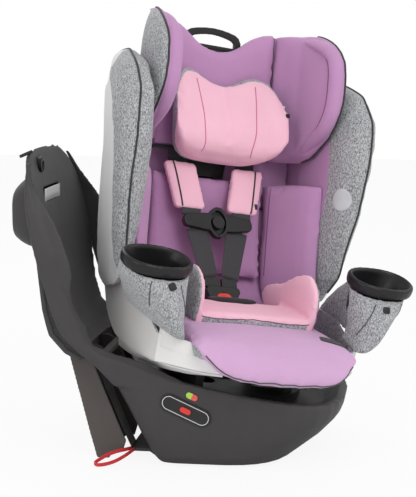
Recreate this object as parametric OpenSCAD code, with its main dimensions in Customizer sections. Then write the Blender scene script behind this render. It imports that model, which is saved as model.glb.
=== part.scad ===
// Convertible child car seat that swivels on a belted or anchored base.
// Millimetres, +Z up, base front towards -Y. The origin is on the floor plane, under the swivel axis,
// in the middle of the centre grip pad. The seat is drawn part-way through a turn, as it is pictured.

/* [Base] */
// Width of the base across its side arms
base_w = 392; // [384:1:400]
// Reach of the bowl in front of the swivel axis
bowl_front = 222; // [214:1:230]
// Reach of the bowl behind the swivel axis
bowl_rear = 190; // [184:1:196]
// Wall of the base mouldings
base_wall = 5; // [4:0.5:6]
// Height of the back panel's crest above the floor
panel_h = 512; // [500:1:524]
// Wall of the back panel
panel_t = 9; // [7:0.5:11]
// Width of the rear leg
leg_w = 300; // [280:1:310]
// Thickness of the rubber grip pads
pad_t = 3; // [2.5:0.5:4]

/* [Swivel] */
// Height of the swivel plane on its axis
table_h = 155; // [152:0.5:160]
// Forward lean of the swivel axis
axis_lean = 10.9; // [9:0.1:12]
// Angle that the seat is turned from facing forwards
seat_turn = -56.6; // [-90:0.1:0]
// Radius of the turntable
table_r = 150; // [140:1:154]
// Thickness of the turntable
table_t = 8; // [6:0.5:9]
// Radius of the king pin
pin_r = 20; // [15:0.5:24]
// Radius of the lock plunger
plunger_r = 5; // [4:0.5:6]
// Travel of the lock button
button_travel = 3; // [2:0.5:3]

/* [Recline] */
// Radius of the recline rails about the recline centre
rail_r = 216; // [212:0.5:218]
// Half of the distance between the rails
rail_x = 85; // [70:1:95]
// Width of a rail
rail_w = 16; // [12:1:20]

/* [Seat] */
// Lean of the seat back from the swivel axis
back_lean = 14.7; // [12:0.1:17]
// Half width of the seat shell
shell_x = 187; // [184:0.5:190]
// Wall of the seat shell
shell_t = 4; // [3:0.5:5]
// Height of the shell's back, along the back
shell_h = 446; // [436:1:452]
// Half width of the seat cushion
pan_x = 150; // [144:1:151]
// Radius that the front of the cushion keeps to as the seat turns
pan_r = 262; // [256:1:263]
// Height of the cushion's top above the swivel plane
pan_top = 72; // [68:1:74]
// Half width of the side bolsters over their piping
bolster_x = 226; // [222:1:232]
// Width of the harness webbing
web_w = 38; // [34:1:40]
// Thickness of the harness webbing
web_t = 1.6; // [1.2:0.1:2]

/* [Cup holders] */
// Half width of a cup holder's ring
cup_a = 60; // [54:1:62]
// Half depth of a cup holder's ring
cup_b = 46; // [42:1:48]
// Depth of a cup holder
cup_depth = 72; // [60:1:74]
// Forward tilt of a cup holder's ring
cup_tilt = 12; // [6:1:16]
// Wall of a cup holder's ring
cup_wall = 8; // [6:0.5:10]

/* [Headrest] */
// Half width of the headrest over its side wings
head_x = 180; // [174:0.5:182]
// Thickness of a side wing
wing_t = 30; // [24:1:34]
// Height of the headrest's lower edge, along the back
head_low = 305; // [300:1:312]
// Height of the headrest's top, along the back
head_top = 531; // [520:1:536]

/* [Hidden] */
part_gap = 0.3;                // between pieces of one body that seat on each other
run_gap = 0.05;                // radial clearance of a running fit
cut = 1;                       // how far a cutter runs past the face that it cuts
table_y = 5;                   // swivel axis, from the origin
rim_z = -18;                   // rim of the bowl, from the swivel plane
deck_z = -50;                  // deck of the bowl, from the swivel plane
deck_t = 6;
plate_z = deck_z + 6;          // underside of the turntable
rail_cy = -20;                 // recline centre, in the seat's frame
rail_cz = 200;
back_y = 115.5;                // foot of the back plane, in the seat's frame
back_z = 24.5;
tray_z = 9;                    // middle of the seat tray's wall, over the runners
flat_z = 1 / cos(axis_lean);   // a length along the swivel axis, as a height

// ---------- shapes that repeat ----------
function power(t, p) = sign(t) * pow(abs(t), p);
// A rounded plan outline: half width a, reach front and rear, and a squareness for each end
function plan(a, front, rear, nf, nr, count = 32) =
  [for (i = [0 : count - 1]) let (t = 360 * (i + 0.5) / count, n = sin(t) < 0 ? nf : nr)
    [a * power(cos(t), 2 / n), (sin(t) < 0 ? front : rear) * power(sin(t), 2 / n)]];
// A smooth line through the control points p, with k steps between neighbours
function knot(p, i) = p[max(0, min(len(p) - 1, i))];
function smooth(p, k = 4) = concat(
  [for (i = [0 : len(p) - 2], j = [0 : k - 1]) let (t = j / k)
    0.5 * (2 * p[i] + (p[i + 1] - knot(p, i - 1)) * t
      + (2 * knot(p, i - 1) - 5 * p[i] + 4 * p[i + 1] - knot(p, i + 2)) * t * t
      + (3 * p[i] - knot(p, i - 1) - 3 * p[i + 1] + knot(p, i + 2)) * t * t * t)],
  [p[len(p) - 1]]);
function reversed(p) = [for (i = [len(p) - 1 : -1 : 0]) p[i]];
function mirrored(p, side) = [for (q = p) [side * q[0], q[1]]];
// A closed skin over rings of equally many points, each anticlockwise seen from the last ring
module loft(rings) {
  n = len(rings[0]);
  m = len(rings) - 1;
  polyhedron(points = [for (r = rings) each r], faces = concat(
    [[for (i = [0 : n - 1]) i]],
    [for (k = [0 : m - 1], i = [0 : n - 1]) [k * n + i, (k + 1) * n + i, (k + 1) * n + (i + 1) % n]],
    [for (k = [0 : m - 1], i = [0 : n - 1]) [k * n + i, (k + 1) * n + (i + 1) % n, k * n + (i + 1) % n]],
    [[for (i = [n - 1 : -1 : 0]) m * n + i]]));
}
// An outline in the Y-Z plane, extruded along X from x0 to x1
module side_slab(outline, x0, x1)
  translate([x0, 0, 0]) rotate([90, 0, 90]) linear_extrude(x1 - x0) polygon(outline);
module pill(length, width, height)
  linear_extrude(height) hull() for (s = [-1, 1]) translate([s * (length - width) / 2, 0])
    circle(width / 2, $fn = 24);
module table_frame() translate([0, table_y, table_h]) rotate([axis_lean, 0, 0]) children();
module seat_frame() table_frame() rotate([0, 0, seat_turn]) children();
// In the back's frame X is across, -Y is forwards out of the back and Z runs up along it
module back_frame() seat_frame() translate([0, back_y, back_z]) rotate([-back_lean, 0, 0]) children();

// ---------- base ----------
// Rows of the bowl: height on the axis, share of the lean, inset, short of the front, short of the rear
bowl_rows = [
  [pad_t, 0, 16, 84, 106],
  [14, 0, 8, 70, 98],
  [46, 0.2, 3, 36, 77],
  [84, 0.45, 1, 9, 54],
  [118, 0.8, 0, 1, 27],
  [table_h + rim_z * flat_z, 1, 0, 0, 0]
];
function bowl_ring(row, wall) =
  [for (p = plan(base_w / 2 - row[2] - wall, bowl_front - row[3] - wall, bowl_rear - row[4] - wall, 3, 8))
    [p[0], table_y + p[1], row[0] + p[1] * tan(axis_lean) * row[1]]];
function level_ring(z, a, front, rear, nf = 3, nr = 6) =
  [for (p = plan(a, front, rear, nf, nr)) [p[0], p[1], z]];

// Side arm: rear edge, edge of the outer band, and edge of the inner flange, as [y, z] going up
arm_rear = [[150, 128], [188, 167], [219, 192], [248, 225], [270, 291], [289, 360], [303, 425],
  [308, 470], [311, 496]];
arm_band = [[40, 128], [44, 142], [72, 153], [96, 162], [116, 170], [188, 192], [206, 226], [227, 272],
  [249, 328], [270, 388], [289, 441],
  [300, 475], [307, 496]];
arm_lip = [[34, 128], [38, 144], [66, 156], [88, 167], [105, 176], [182, 196], [198, 228], [222, 276],
  [224, 328], [246, 388], [271, 431], [293, 466],
  [303, 496]];
arm_out = [[0, 128], [0, 350], [8, 418], [24, 458], [42, 482], [58, 496]]; // [inset, z] of the outer face
function at_height(p, z) = lookup(z, [for (q = p) [q[1], q[0]]]);
module side_arm(side) {
  levels = concat([for (z = [132 : 14 : 342]) z], [350, 367, 384, 401, 418, 431, 445, 458, 470, 482, 489,
    496]);
  loft([for (z = levels) let (
      o = base_w / 2 - at_height(arm_out, z),
      r = at_height(smooth(arm_rear), z),
      b = at_height(smooth(arm_band), z),
      f = min(b - 2, at_height(smooth(arm_lip), z)),
      p = [[o - 3, r], [o - 14, r - 1], [o - 14, f + 1], [o - 12, f], [o - 9, f], [o - 8, b - 1],
        [o - 3, b], [o, b + 3 * (r - b) / 20 + 0.5], [o, r - (r - b) / 5]],
      q = side > 0 ? p : reversed(mirrored(p, -1)))
    [for (v = q) [v[0], v[1], z]]]);
}
// The control plate on the near side: centre and slope in the Y-Z plane
panel_y = 34;
panel_z = 98;
panel_slope = 24;
bezel_l = 88;
bezel_w = 29;
bezel_t = 3;
button_l = 19;
button_w = 9;
lens_up = 26;
module on_side() translate([-base_w / 2, panel_y, panel_z]) rotate([panel_slope, 0, 0])
  rotate([90, 0, 90]) children();
module base_housing() color([0.29, 0.28, 0.29]) difference() {
  union() {
    loft([for (row = bowl_rows) bowl_ring(row, 0)]);
    for (s = [-1, 1]) side_arm(s);
  }
  // the bowl above the deck
  table_frame() loft([
    level_ring(deck_z, base_w / 2 - 26, bowl_front - 30, bowl_rear - 36),
    level_ring(rim_z - 8, base_w / 2 - 15.5, bowl_front - 9, bowl_rear - 12),
    level_ring(table_h, base_w / 2 - 15.5, bowl_front + 90, bowl_rear - 4)
  ]);
  // the hollow below the deck
  loft([
    bowl_ring(bowl_rows[0] + [-cut - pad_t, 0, 0, 0, 0], base_wall + 3),
    bowl_ring(bowl_rows[2], base_wall),
    [for (p = plan(base_w / 2 - 32, bowl_front - 44, bowl_rear - 72, 3, 6))
      [p[0], table_y + p[1], table_h + (deck_z - deck_t) * flat_z + p[1] * tan(axis_lean)]]
  ]);
  // slot for the tie to the rear leg
  side_slab([[70, -cut], [120, -cut], [120, 16 + part_gap], [102, 16 + part_gap],
    [90, pad_t + floor_t + part_gap], [70, pad_t + floor_t + part_gap]],
    10 - leg_w / 2 - part_gap, leg_w / 2 - 10 + part_gap);
  table_frame() {
    cylinder(h = 3 * table_h, r = pin_r - 6, center = true, $fn = 64);
    translate([plunger_x, plunger_y, deck_z - 3 * deck_t])
      cylinder(h = 6 * deck_t, r = plunger_r + run_gap, $fn = 48);
  }
  on_side() {
    translate([0, 0, -cut]) pill(bezel_l + 2 * part_gap, bezel_w + 2 * part_gap, cut + bezel_t);
    translate([0, 0, -cut]) pill(button_l + 1, button_w + 1, 30);
    translate([0, lens_up, -cut]) pill(lens_l + 2 * part_gap, lens_w + 2 * part_gap, cut + bezel_t);
  }
}

// Back panel: its front face as [z, y], going up. It bows back in the middle, and its top edge follows
// the arms down to the shoulders.
panel_face = [[176, 222], [188, 246], [217, 272], [255, 283], [320, 290], [385, 296], [430, 303],
  [480, 312], [502, 317]];
panel_half = base_w / 2 - 14.5 - part_gap;
function panel_bow(x) = -16 * pow(x / panel_half, 2);
function panel_top(x) = lookup(abs(x), concat([[0, panel_h], [96, panel_h - 2]],
  [for (i = [len(arm_out) - 1 : -1 : 1]) [panel_half - arm_out[i][0], arm_out[i][1]]]));
function squeeze(z, top) = z < top - 24 ? z : top - 24 + (z - top + 24) * 24 / (panel_h - top + 24);
function panel_section(x, gap = 0) = let (top = panel_top(x),
    front = [for (q = smooth(panel_face, 2)) let (z = squeeze(q[0], top)) [lookup(z, panel_face), z]],
    n = len(front))
  [for (q = concat([for (f = front) f - [gap > 0 ? 40 : 0, 0]], [[front[n - 1][0] + 6, top + gap]],
      [for (i = [n - 1 : -1 : 0]) front[i] + (panel_t + gap) * [1, i < 6 ? -0.55 : 0]]))
    [x, q[0] + panel_bow(x), q[1]]];
panel_steps = [1, 0.96, 0.92, 0.87, 0.8, 0.72, 0.64, 0.56, 0.42, 0.28, 0.14];
module panel_skin(gap = 0) loft([for (u = concat(panel_steps, [0], -reversed(panel_steps)))
  panel_section(u * (panel_half + gap), gap)]);
window_z = 431;
window_l = 108;
window_h = 24;
hook_x = -45;
hook_z = 484;
cap_x = -98;
module cap_place() translate([cap_x, 320, panel_h - 8.5]) rotate([-24, 0, 0]) children();
module back_panel() color([0.29, 0.28, 0.29]) difference() {
  panel_skin();
  translate([0, 300, window_z]) rotate([90, 0, 0]) linear_extrude(80, center = true)
    hull() for (s = [-1, 1], t = [-1, 1])
      translate([s * (window_l / 2 - 8), t * (window_h / 2 - 8)]) circle(8, $fn = 16);
  // seats for the strap cap and the tether hook
  cap_place() translate([0, 0, -part_gap]) cylinder(h = 20, r = 12 + part_gap, $fn = 48);
  translate([hook_x, 309, hook_z]) rotate([90, 0, 0]) cylinder(h = 14, r = 15, center = true, $fn = 40);
}
// Hump over the tether reel, behind the panel
module rear_hump(wall) loft([for (k = [5 : -1 : 0]) let (u = k / 5)
  [for (p = plan(146 - 20 * u * u - wall, 70 - 24 * u * u - wall, 66 - 20 * u * u - wall, 4, 4, 28))
    [p[0], 296 + 44 * u - wall * u, 414 - 8 * u + p[1]]]]);
module rear_cover() color([0.27, 0.26, 0.27]) difference() {
  rear_hump(0);
  rear_hump(base_wall);
  panel_skin(part_gap);
}

// Rear leg: a ribbed wall that stands behind the belt path
leg_outline = [[184, 0], [193, 0], [204, 40], [244, 196], [222, 176], [205, 168], [196, 160], [143, 30],
  [148, 14], [166, 10], [172, 0]];
leg_wall = [[184, 0], [193, 0], [204, 40], [244, 196], [236, 189], [198, 42], [187, 6], [180, 6]];
leg_side = 6;
module rear_leg() color([0.36, 0.34, 0.33]) difference() {
  union() {
    side_slab(leg_wall, -leg_w / 2, leg_w / 2);
    for (x = [-leg_w / 2, -leg_w / 6, leg_w / 6 - leg_side, leg_w / 2 - leg_side])
      side_slab(leg_outline, x, x + leg_side);
  }
  panel_skin(part_gap);
}
// Floor of the base: closes the bowl, ties the rear leg to it under the belt path and seats the lock spring
floor_t = 5;
module base_plate() color([0.24, 0.24, 0.25]) difference() {
  union() {
    translate([0, 0, pad_t]) linear_extrude(floor_t)
      polygon([for (p = plan(base_w / 2 - 34, bowl_front - 108, bowl_rear - 124, 3, 6))
        [p[0], table_y + p[1]]]);
    side_slab([[56, pad_t], [92, pad_t], [104, 11], [138, 11], [138, 16], [102, 16],
      [90, pad_t + floor_t], [56, pad_t + floor_t]], 10 - leg_w / 2, leg_w / 2 - 10);
    intersection() {
      translate([-base_w, -base_w, pad_t]) cube([2 * base_w, 2 * base_w, table_h]);
      table_frame() translate([plunger_x, plunger_y, spring_z - 2 * table_h])
        cylinder(h = 2 * table_h, r = plunger_r + 7, $fn = 48);
    }
  }
  table_frame() translate([plunger_x, plunger_y, spring_z - 18])
    cylinder(h = 18 + cut, r = plunger_r + run_gap, $fn = 48);
}
// Rubber strips that the base stands on
module grip_pads() color([0.12, 0.12, 0.13]) {
  for (x = [-130, 0, 130]) translate([x, 0, 0]) linear_extrude(pad_t) hull()
    for (y = [-74, 56]) translate([0, y]) circle(12, $fn = 24);
}

// ---------- swivel ----------
plunger_x = -138;
plunger_y = 10;
plunger_ring = norm([plunger_x, plunger_y]);
plunger_angle = atan2(plunger_y, plunger_x);
collar_z = -74;
spring_z = -104;
module slide_ring() color([0.85, 0.85, 0.82]) table_frame() translate([0, 0, deck_z]) difference() {
  cylinder(h = plate_z - part_gap - deck_z, r = table_r - 22, $fn = 96);
  translate([0, 0, -cut]) cylinder(h = plate_z - deck_z + 2 * cut, r = table_r - 40, $fn = 96);
}
module pivot_hub() color([0.55, 0.56, 0.58]) table_frame() difference() {
  union() {
    translate([0, 0, deck_z]) cylinder(h = plate_z - 1 - deck_z, r = 2 * pin_r, $fn = 96);
    translate([0, 0, deck_z]) cylinder(h = plate_z + table_t + part_gap - deck_z, r = pin_r, $fn = 96);
  }
  translate([0, 0, deck_z - cut]) cylinder(h = table_h, r = pin_r - 12 + part_gap, $fn = 48);
}
// Cap and bolt that hold the turntable down on the king pin
module hub_cap() color([0.5, 0.51, 0.53]) table_frame() {
  translate([0, 0, plate_z + table_t + part_gap]) cylinder(h = 4, r = 1.6 * pin_r, $fn = 96);
  translate([0, 0, plate_z + table_t + part_gap + 4]) cylinder(h = 6, r = 13, $fn = 6);
  translate([0, 0, deck_z - deck_t - 6]) cylinder(h = 6 - part_gap, r = pin_r - 1, $fn = 6);
  translate([0, 0, deck_z - deck_t - 6]) cylinder(h = deck_t + 6 + plate_z + table_t + part_gap - deck_z,
    r = pin_r - 12, $fn = 48);
}
module turntable() color([0.45, 0.46, 0.48]) seat_frame() difference() {
  union() {
    translate([0, 0, plate_z]) cylinder(h = table_t, r = table_r, $fn = 128);
    translate([0, 0, plate_z + table_t]) difference() {
      cylinder(h = 5, r = table_r, $fn = 128);
      translate([0, 0, -cut]) cylinder(h = 5 + 2 * cut, r = table_r - 5, $fn = 128);
    }
  }
  translate([0, 0, plate_z - cut]) cylinder(h = table_t + 2 * cut, r = pin_r + run_gap, $fn = 96);
  // a notch for the plunger at each quarter turn from facing forwards
  for (k = [0 : 3]) rotate(plunger_angle + 90 * k)
    translate([plunger_ring - 8, -7, plate_z - cut]) cube([16, 14, table_t + 2 * cut]);
  // lightening windows between the rails
  for (k = [0 : 3]) rotate(45 + 90 * k) translate([70, 0, plate_z - cut])
    cylinder(h = table_t + 2 * cut, r = 22, $fn = 64);
}
module lock_plunger() color([0.6, 0.6, 0.62]) table_frame() translate([plunger_x, plunger_y, 0]) {
  translate([0, 0, spring_z - 10]) cylinder(h = plate_z - part_gap - spring_z + 10, r = plunger_r, $fn =
    48);
  translate([0, 0, collar_z]) cylinder(h = 4, r = plunger_r + 5, $fn = 48);
}
spring_turns = 5;
function coil_point(u) = let (a = 360 * spring_turns * u)
  [(plunger_r + 3) * cos(a), (plunger_r + 3) * sin(a), spring_z + 1.2 + (collar_z - spring_z - 2.4) * u];
module plunger_spring() color([0.7, 0.7, 0.72]) table_frame() translate([plunger_x, plunger_y, 0])
  loft([for (i = [0 : 60]) let (c = coil_point(i / 60), a = 6 * spring_turns * i)
    [for (k = [5 : -1 : 0]) c + (cos(60 * k)) * [cos(a), sin(a), 0] + [0, 0, sin(60 * k)]]]);
module control_bezel() color([0.2, 0.2, 0.21]) on_side() translate([0, 0, -0.8]) difference() {
  pill(bezel_l, bezel_w, bezel_t + 0.8 - part_gap);
  translate([0, 0, -cut]) pill(button_l + 1, button_w + 1, bezel_t + 3 * cut);
}
lens_l = 20;
lens_w = 10;
module lock_indicator() color([0.6, 0.75, 0.25])
  on_side() translate([0, lens_up, -0.6]) pill(lens_l, lens_w, bezel_t + 0.6 - part_gap);
module lock_button() color([0.88, 0.24, 0.2])
  on_side() translate([0, 0, -2.5]) pill(button_l, button_w, 9);

// ---------- small parts of the base ----------
module strap_hook() color([0.1, 0.1, 0.1])
  translate([hook_x, 316 - part_gap - 5, hook_z]) rotate([90, 0, 0]) difference() {
  cylinder(h = 10, r = 13, center = true, $fn = 40);
  translate([0, -2, 2]) cylinder(h = 10, r = 8, $fn = 32);
  translate([-3, -20, 0]) cube([6, 18, 10]);
}
module strap_cap() color([0.1, 0.1, 0.1]) cap_place() cylinder(h = 5, r = 12, $fn = 48);
web_path = [[134, 16.7], [168, 96], [193, 153]];
module anchor_webbing() color([0.17, 0.17, 0.19]) for (x = [-leg_w / 2 + 8, leg_w / 2 - 8 - web_w])
  side_slab(band(web_path, web_t), x, x + web_w);
// Red ribbon that releases the anchor strap
loop_path = [[9.7 - leg_w / 2, 130], [-160, 138], [-184, 152], [-204, 168], [-213, 178], [-207, 184],
  [-194, 178], [-178, 163], [-160, 146], [9.7 - leg_w / 2, 135]];
module pull_loop() color([0.84, 0.1, 0.12])
  translate([0, 0, 12]) linear_extrude(5) polygon(band(smooth(loop_path), 1.6));
// A line given a thickness
function line_normal(p, i) = let (a = p[max(0, i - 1)], b = p[min(len(p) - 1, i + 1)], d = (b - a)
  / norm(b - a)) [-d[1], d[0]];
function band(p, t) = concat([for (i = [0 : len(p) - 1]) p[i] - line_normal(p, i) * t / 2],
  [for (i = [len(p) - 1 : -1 : 0]) p[i] + line_normal(p, i) * t / 2]);

// ---------- recline ----------
module about_recline() translate([rail_cy, rail_cz]) children();
module across(x, w) translate([x - w / 2, 0, 0]) rotate([90, 0, 90]) linear_extrude(w) children();
rail_front = -90;
rail_back = 56;
runner_front = -50;
runner_back = 52;
runner_top = tray_z - 1;
module recline_rails() color([0.5, 0.51, 0.53])
  seat_frame() for (s = [-1, 1]) across(s * rail_x, rail_w) difference() {
  translate([rail_cy + rail_front, plate_z + table_t]) square([rail_back - rail_front, 60]);
  about_recline() circle(rail_r, $fn = 360);
}
module recline_runners() color([0.3, 0.3, 0.32]) seat_frame() for (s = [-1, 1]) {
  across(s * rail_x, rail_w + 8) runner_side(rail_r - part_gap);
  for (t = [-1, 1]) across(s * rail_x + t * (rail_w / 2 + 2.2), 3.6) runner_side(rail_r + 10);
}
module runner_side(r) difference() {
  intersection() {
    translate([rail_cy + runner_front, rail_cz - r - cut])
      square([runner_back - runner_front, runner_top - rail_cz + r + cut]);
    about_recline() circle(r, $fn = 360);
  }
  polygon(band(smooth(tray, 3), shell_t + 2 * part_gap));
}
lever_y = -226;
lever_x = 44;
lever_z = 10.6;
module recline_lever() color([0.13, 0.13, 0.14]) seat_frame() {
  difference() {
    translate([0, lever_y, lever_z]) linear_extrude(7) hull() for (s = [-1, 1])
      translate([s * lever_x, 0])
      circle(8, $fn = 32);
    translate([0, lever_y + 3, lever_z - cut]) linear_extrude(3) hull() for (s = [-1, 1])
      translate([s * lever_x, 0]) circle(4, $fn = 24);
  }
  for (s = [-1, 1]) translate([s * lever_x - 6, lever_y, lever_z + 2]) cube([12, 54, 3]);
}

// ---------- seat shell ----------
shell_r = 232;                 // the shell's front edge, from the swivel axis
tray = [[-230, 30], [-222, 25], [-200, 20], [-150, 18], [-96, 13], [-66, tray_z], [26, tray_z], [60, 20],
  [92, 40], [113, 66]];
// Middle of the back's wall: [behind the back plane, height]
spine = [[-13, 38], [2, 80], [18, 121], [32, 196], [48, 292], [60, 360], [69, shell_h]];
side_top = [[98, 112], [40, 110], [10, 92], [-60, 88], [-124, 60], [-230, 58]];
side_front = [[-38, shell_h], [-56, 300], [-62, 60], [-30, 30]];
module shell_side(s, outline) side_slab(outline, s * (shell_x - shell_t / 2) - shell_t / 2, s
  * (shell_x - shell_t / 2) + shell_t / 2);
module seat_shell() color([0.88, 0.87, 0.86]) difference() {
  union() {
    seat_frame() intersection() {
      union() {
        side_slab(band(smooth(tray, 3), shell_t), -shell_x + 0.5, shell_x - 0.5);
        for (s = [-1, 1]) shell_side(s, concat(smooth(tray, 3), side_top));
        // the walls turn the front corners, up to the cushion's edge
        difference() {
          side_slab(concat(smooth(tray, 3), [[98, 40], [-60, 40], [-230, 39]]), -shell_x + 0.5, shell_x
            - 0.5);
          cylinder(h = 4 * shell_r, r = shell_r - shell_t, center = true, $fn = 180);
          translate([-90, -shell_r - cut, -shell_r]) cube([180, 2 * shell_r, 2 * shell_r]);
          translate([-shell_r, -80, -shell_r]) cube([2 * shell_r, 2 * shell_r, 2 * shell_r]);
        }
        // guides for the recline lever
        for (s = [-1, 1]) translate([s * lever_x - 10, lever_y + 26, lever_z - 0.4])
          cube([20, 22, 10]);
      }
      cylinder(h = 4 * shell_r, r = shell_r, center = true, $fn = 180);
    }
    back_frame() intersection() {
      union() {
        side_slab(band(smooth(spine, 3), shell_t), -shell_x + 0.5, shell_x - 0.5);
        for (s = [-1, 1]) shell_side(s, concat(smooth(spine, 3), side_front));
      }
      translate([0, 200, 0]) rotate([90, 0, 0]) linear_extrude(400)
        polygon(concat([[-shell_x, 0], [shell_x, 0]],
        [for (a = [0 : 15 : 90]) [shell_x - 46 + 46 * cos(a), shell_h - 46 + 46 * sin(a)]],
        [for (a = [90 : 15 : 180]) [-shell_x + 46 + 46 * cos(a), shell_h - 46 + 46 * sin(a)]]));
    }
  }
  // slots for the harness
  back_frame() for (s = [-1, 1]) translate([s * 68 - 5, 0, 170]) cube([10, 120, 220]);
  seat_frame() for (s = [-1, 1]) translate([s * lever_x - 6.5, lever_y, lever_z + 1.5]) cube([13, 60, 4]);
}
// Dish under the seat's sides: it closes the gap to the bowl and passes over the rim as the seat turns.
// Stations along it: [x, y, low edge's share of the radius]
dish_path = [[96, -208, 0.9], [120, -195, 0.87], [150, -174, 0.83], [170, -154, 0.82], [182, -128, 0.83],
  [183, -90, 0.88], [183, -50, 0.94], [183, 0, 0.962], [183, 30, 0.975]];
function dish_drop(r) = lookup(r, [[178, -10.5], [184, -8], [190, -3], [196, 2], [204, 8], [214, 11],
  [232, 12]]);
function dish_top(y) = lookup(y, smooth(tray, 1)) - shell_t / 2 - 1.4;
function dish_section(q) = let (
    r = norm([q[0], q[1]]),
    low = r * q[2],
    mid = (r + low) / 2,
    top = dish_top(q[1]))
  [for (p = [[r, top], [r, max(top - 4, min(top - 1, dish_drop(r)))], [mid, dish_drop(mid)],
    [low, dish_drop(low)],
      [low - 3, dish_drop(low) + 1], [mid - 3, dish_drop(mid) + 3], [r - 5, top]])
    [q[0] * p[0] / r, q[1] * p[0] / r, p[1]]];
module shell_dish(side) color([0.88, 0.87, 0.86]) seat_frame() on_side_of(side)
  loft([for (q = dish_path) dish_section(q)]);
module back_bulge(wall) loft([for (k = [5 : -1 : 0]) let (u = k / 5)
  [for (p = plan(128 - 22 * u * u - wall, 108 - 26 * u * u - wall, 104 - 26 * u * u - wall, 4, 4, 28))
    [p[0], 30 + 52 * u - wall * u, 262 + p[1]]]]);
module shell_back_cover() color([0.8, 0.8, 0.79]) back_frame() difference() {
  back_bulge(0);
  back_bulge(shell_t);
  translate([0, -100, 0]) side_slab(concat(
    smooth([for (q = spine) q + [shell_t / 2 + part_gap + 100, 0]], 3), [[0, shell_h], [0, 38]]),
      -shell_x, shell_x);
}

// ---------- cushions ----------
pan_under = 40;                // where the cushion lies on its foam
pan_sink = 9;                  // how far its rear lies below its front
module pan_foam() color([0.2, 0.2, 0.2]) seat_frame() intersection() {
  side_slab(concat([for (q = smooth(tray, 3)) if (q[0] > -226 && q[0] < 84) q + [0, shell_t / 2 + 1.2]],
    [[84, pan_under - part_gap], [-226, pan_under - part_gap]]), -pan_x + 4, pan_x - 4);
  cylinder(h = 4 * shell_r, r = shell_r - shell_t - part_gap, center = true, $fn = 180);
}
module back_foam() color([0.2, 0.2, 0.2]) back_frame() side_slab(
  [[12.6, 124], [14 + part_gap, 128], [14 + part_gap, 218], [31.6, 218], [28.6, 196], [15.2, 124]],
    -shell_x + 12, shell_x - 12);
rest_low = 265;                // lowest that the headrest comes to
// Fabric that lines the shell behind the headrest, on both sides of its carriage
module back_liner() color([0.72, 0.53, 0.7]) back_frame() for (s = [-1, 1])
  translate([s * 111 - 70, 23.5, 219]) cube([140, 3, 216]);
// Section of the cushion at x: it hangs over the shell's front edge, and its hem rises to the corners
function shell_edge(x) = -sqrt(pow(shell_r + 2, 2) - x * x);
function pan_hem(u) = 12 + 47 * pow(u, 6);
pan_curve = [[1, 0.16], [9, 0.42], [30, 0.72], [62, 0.9], [112, 0.985]];
function pan_section(x) = let (
    u = abs(x) / pan_x,
    f = -sqrt(pan_r * pan_r - x * x),
    h = pan_hem(u),
    top = pan_top - 3 * u * u,
    rear = top - pan_sink)
  [for (q = concat(
      [[84, pan_under], [shell_edge(x), pan_under], [f + 16, min(h, pan_under - 1)], [f + 4, h]],
      [for (k = pan_curve) [f + k[0] * (1 - 0.4 * u), h + (top - h) * k[1]]],
      [[-20, top], [12, rear], [84, rear]]))
    [x, q[0], q[1]]];
module seat_cushion() color([0.76, 0.6, 0.76]) seat_frame()
  loft([for (i = [10 : -1 : -10]) pan_section(sin(i * 9) * pan_x)]);
module back_pad() color([0.72, 0.53, 0.7]) back_frame() side_slab(
  [[-24, 82], [-19, 125], [-12, 200], [-12, rest_low], [14, rest_low], [14, 128], [-3, 82]], -116, 116);
module on_side_of(side) mirror([side > 0 ? 0 : 1, 0, 0]) children();
module inner_bolster(side) color([0.72, 0.53, 0.7]) difference() {
  back_frame() on_side_of(side) linear_extrude(rest_low - 3)
    polygon([[117, 9], [117, -14], [122, -24], [134, -50], [150, -86], [163, -108], [174, -120],
      [182.5, -120], [182.5, 9]]);
  // it stands on the cushion and stays clear of the shell's curve
  seat_frame() translate([-base_w, -base_w, -table_h])
    cube([2 * base_w, 2 * base_w, table_h + pan_top + part_gap]);
  back_frame() side_slab(concat([for (q = smooth(spine, 3)) if (q[1] < 190) q - [shell_t, 0]],
    [[60, 180], [60, 20], [-20, 20]]), -base_w, base_w);
}
// Front and rear reach of a side bolster and its outer face, by height along the back
function bolster_front(h) = lookup(h, [[44, 100], [60, 118], [92, 147], [206, 178], [281, 194],
  [374, 194], [425, 158], [446, 118], [457, 88]]);
function bolster_rear(h) = lookup(h, [[44, 36], [60, 8], [92, -4], [206, -8], [330, -8], [425, -10],
  [446, -4], [457, 14]]);
function bolster_out(h) = lookup(h, [[44, -20], [92, -10], [206, 2], [330, 6], [425, 4], [446, -3],
  [457, -12]]);
bolster_rows = [44, 60, 92, 150, 206, 250, 292, 334, 374, 400, 425, 446, 457];
module side_bolster(side) color([0.6, 0.6, 0.61]) back_frame() loft([for (h = bolster_rows) let (
    f = bolster_front(h), r = bolster_rear(h), o = bolster_x + bolster_out(h), i = shell_x + part_gap,
    p = [[i, -f * 0.6], [i + 4, -f * 0.86], [i + 16, -f], [o - 6, -f + 2], [o - 1, -f + 10],
      [o, -f * 0.7], [o - 4, -f * 0.4],
      [i + 14, -r - 4], [i, -r]])
  [for (v = side > 0 ? p : reversed(mirrored(p, -1))) [v[0], v[1], h]]]);

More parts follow.
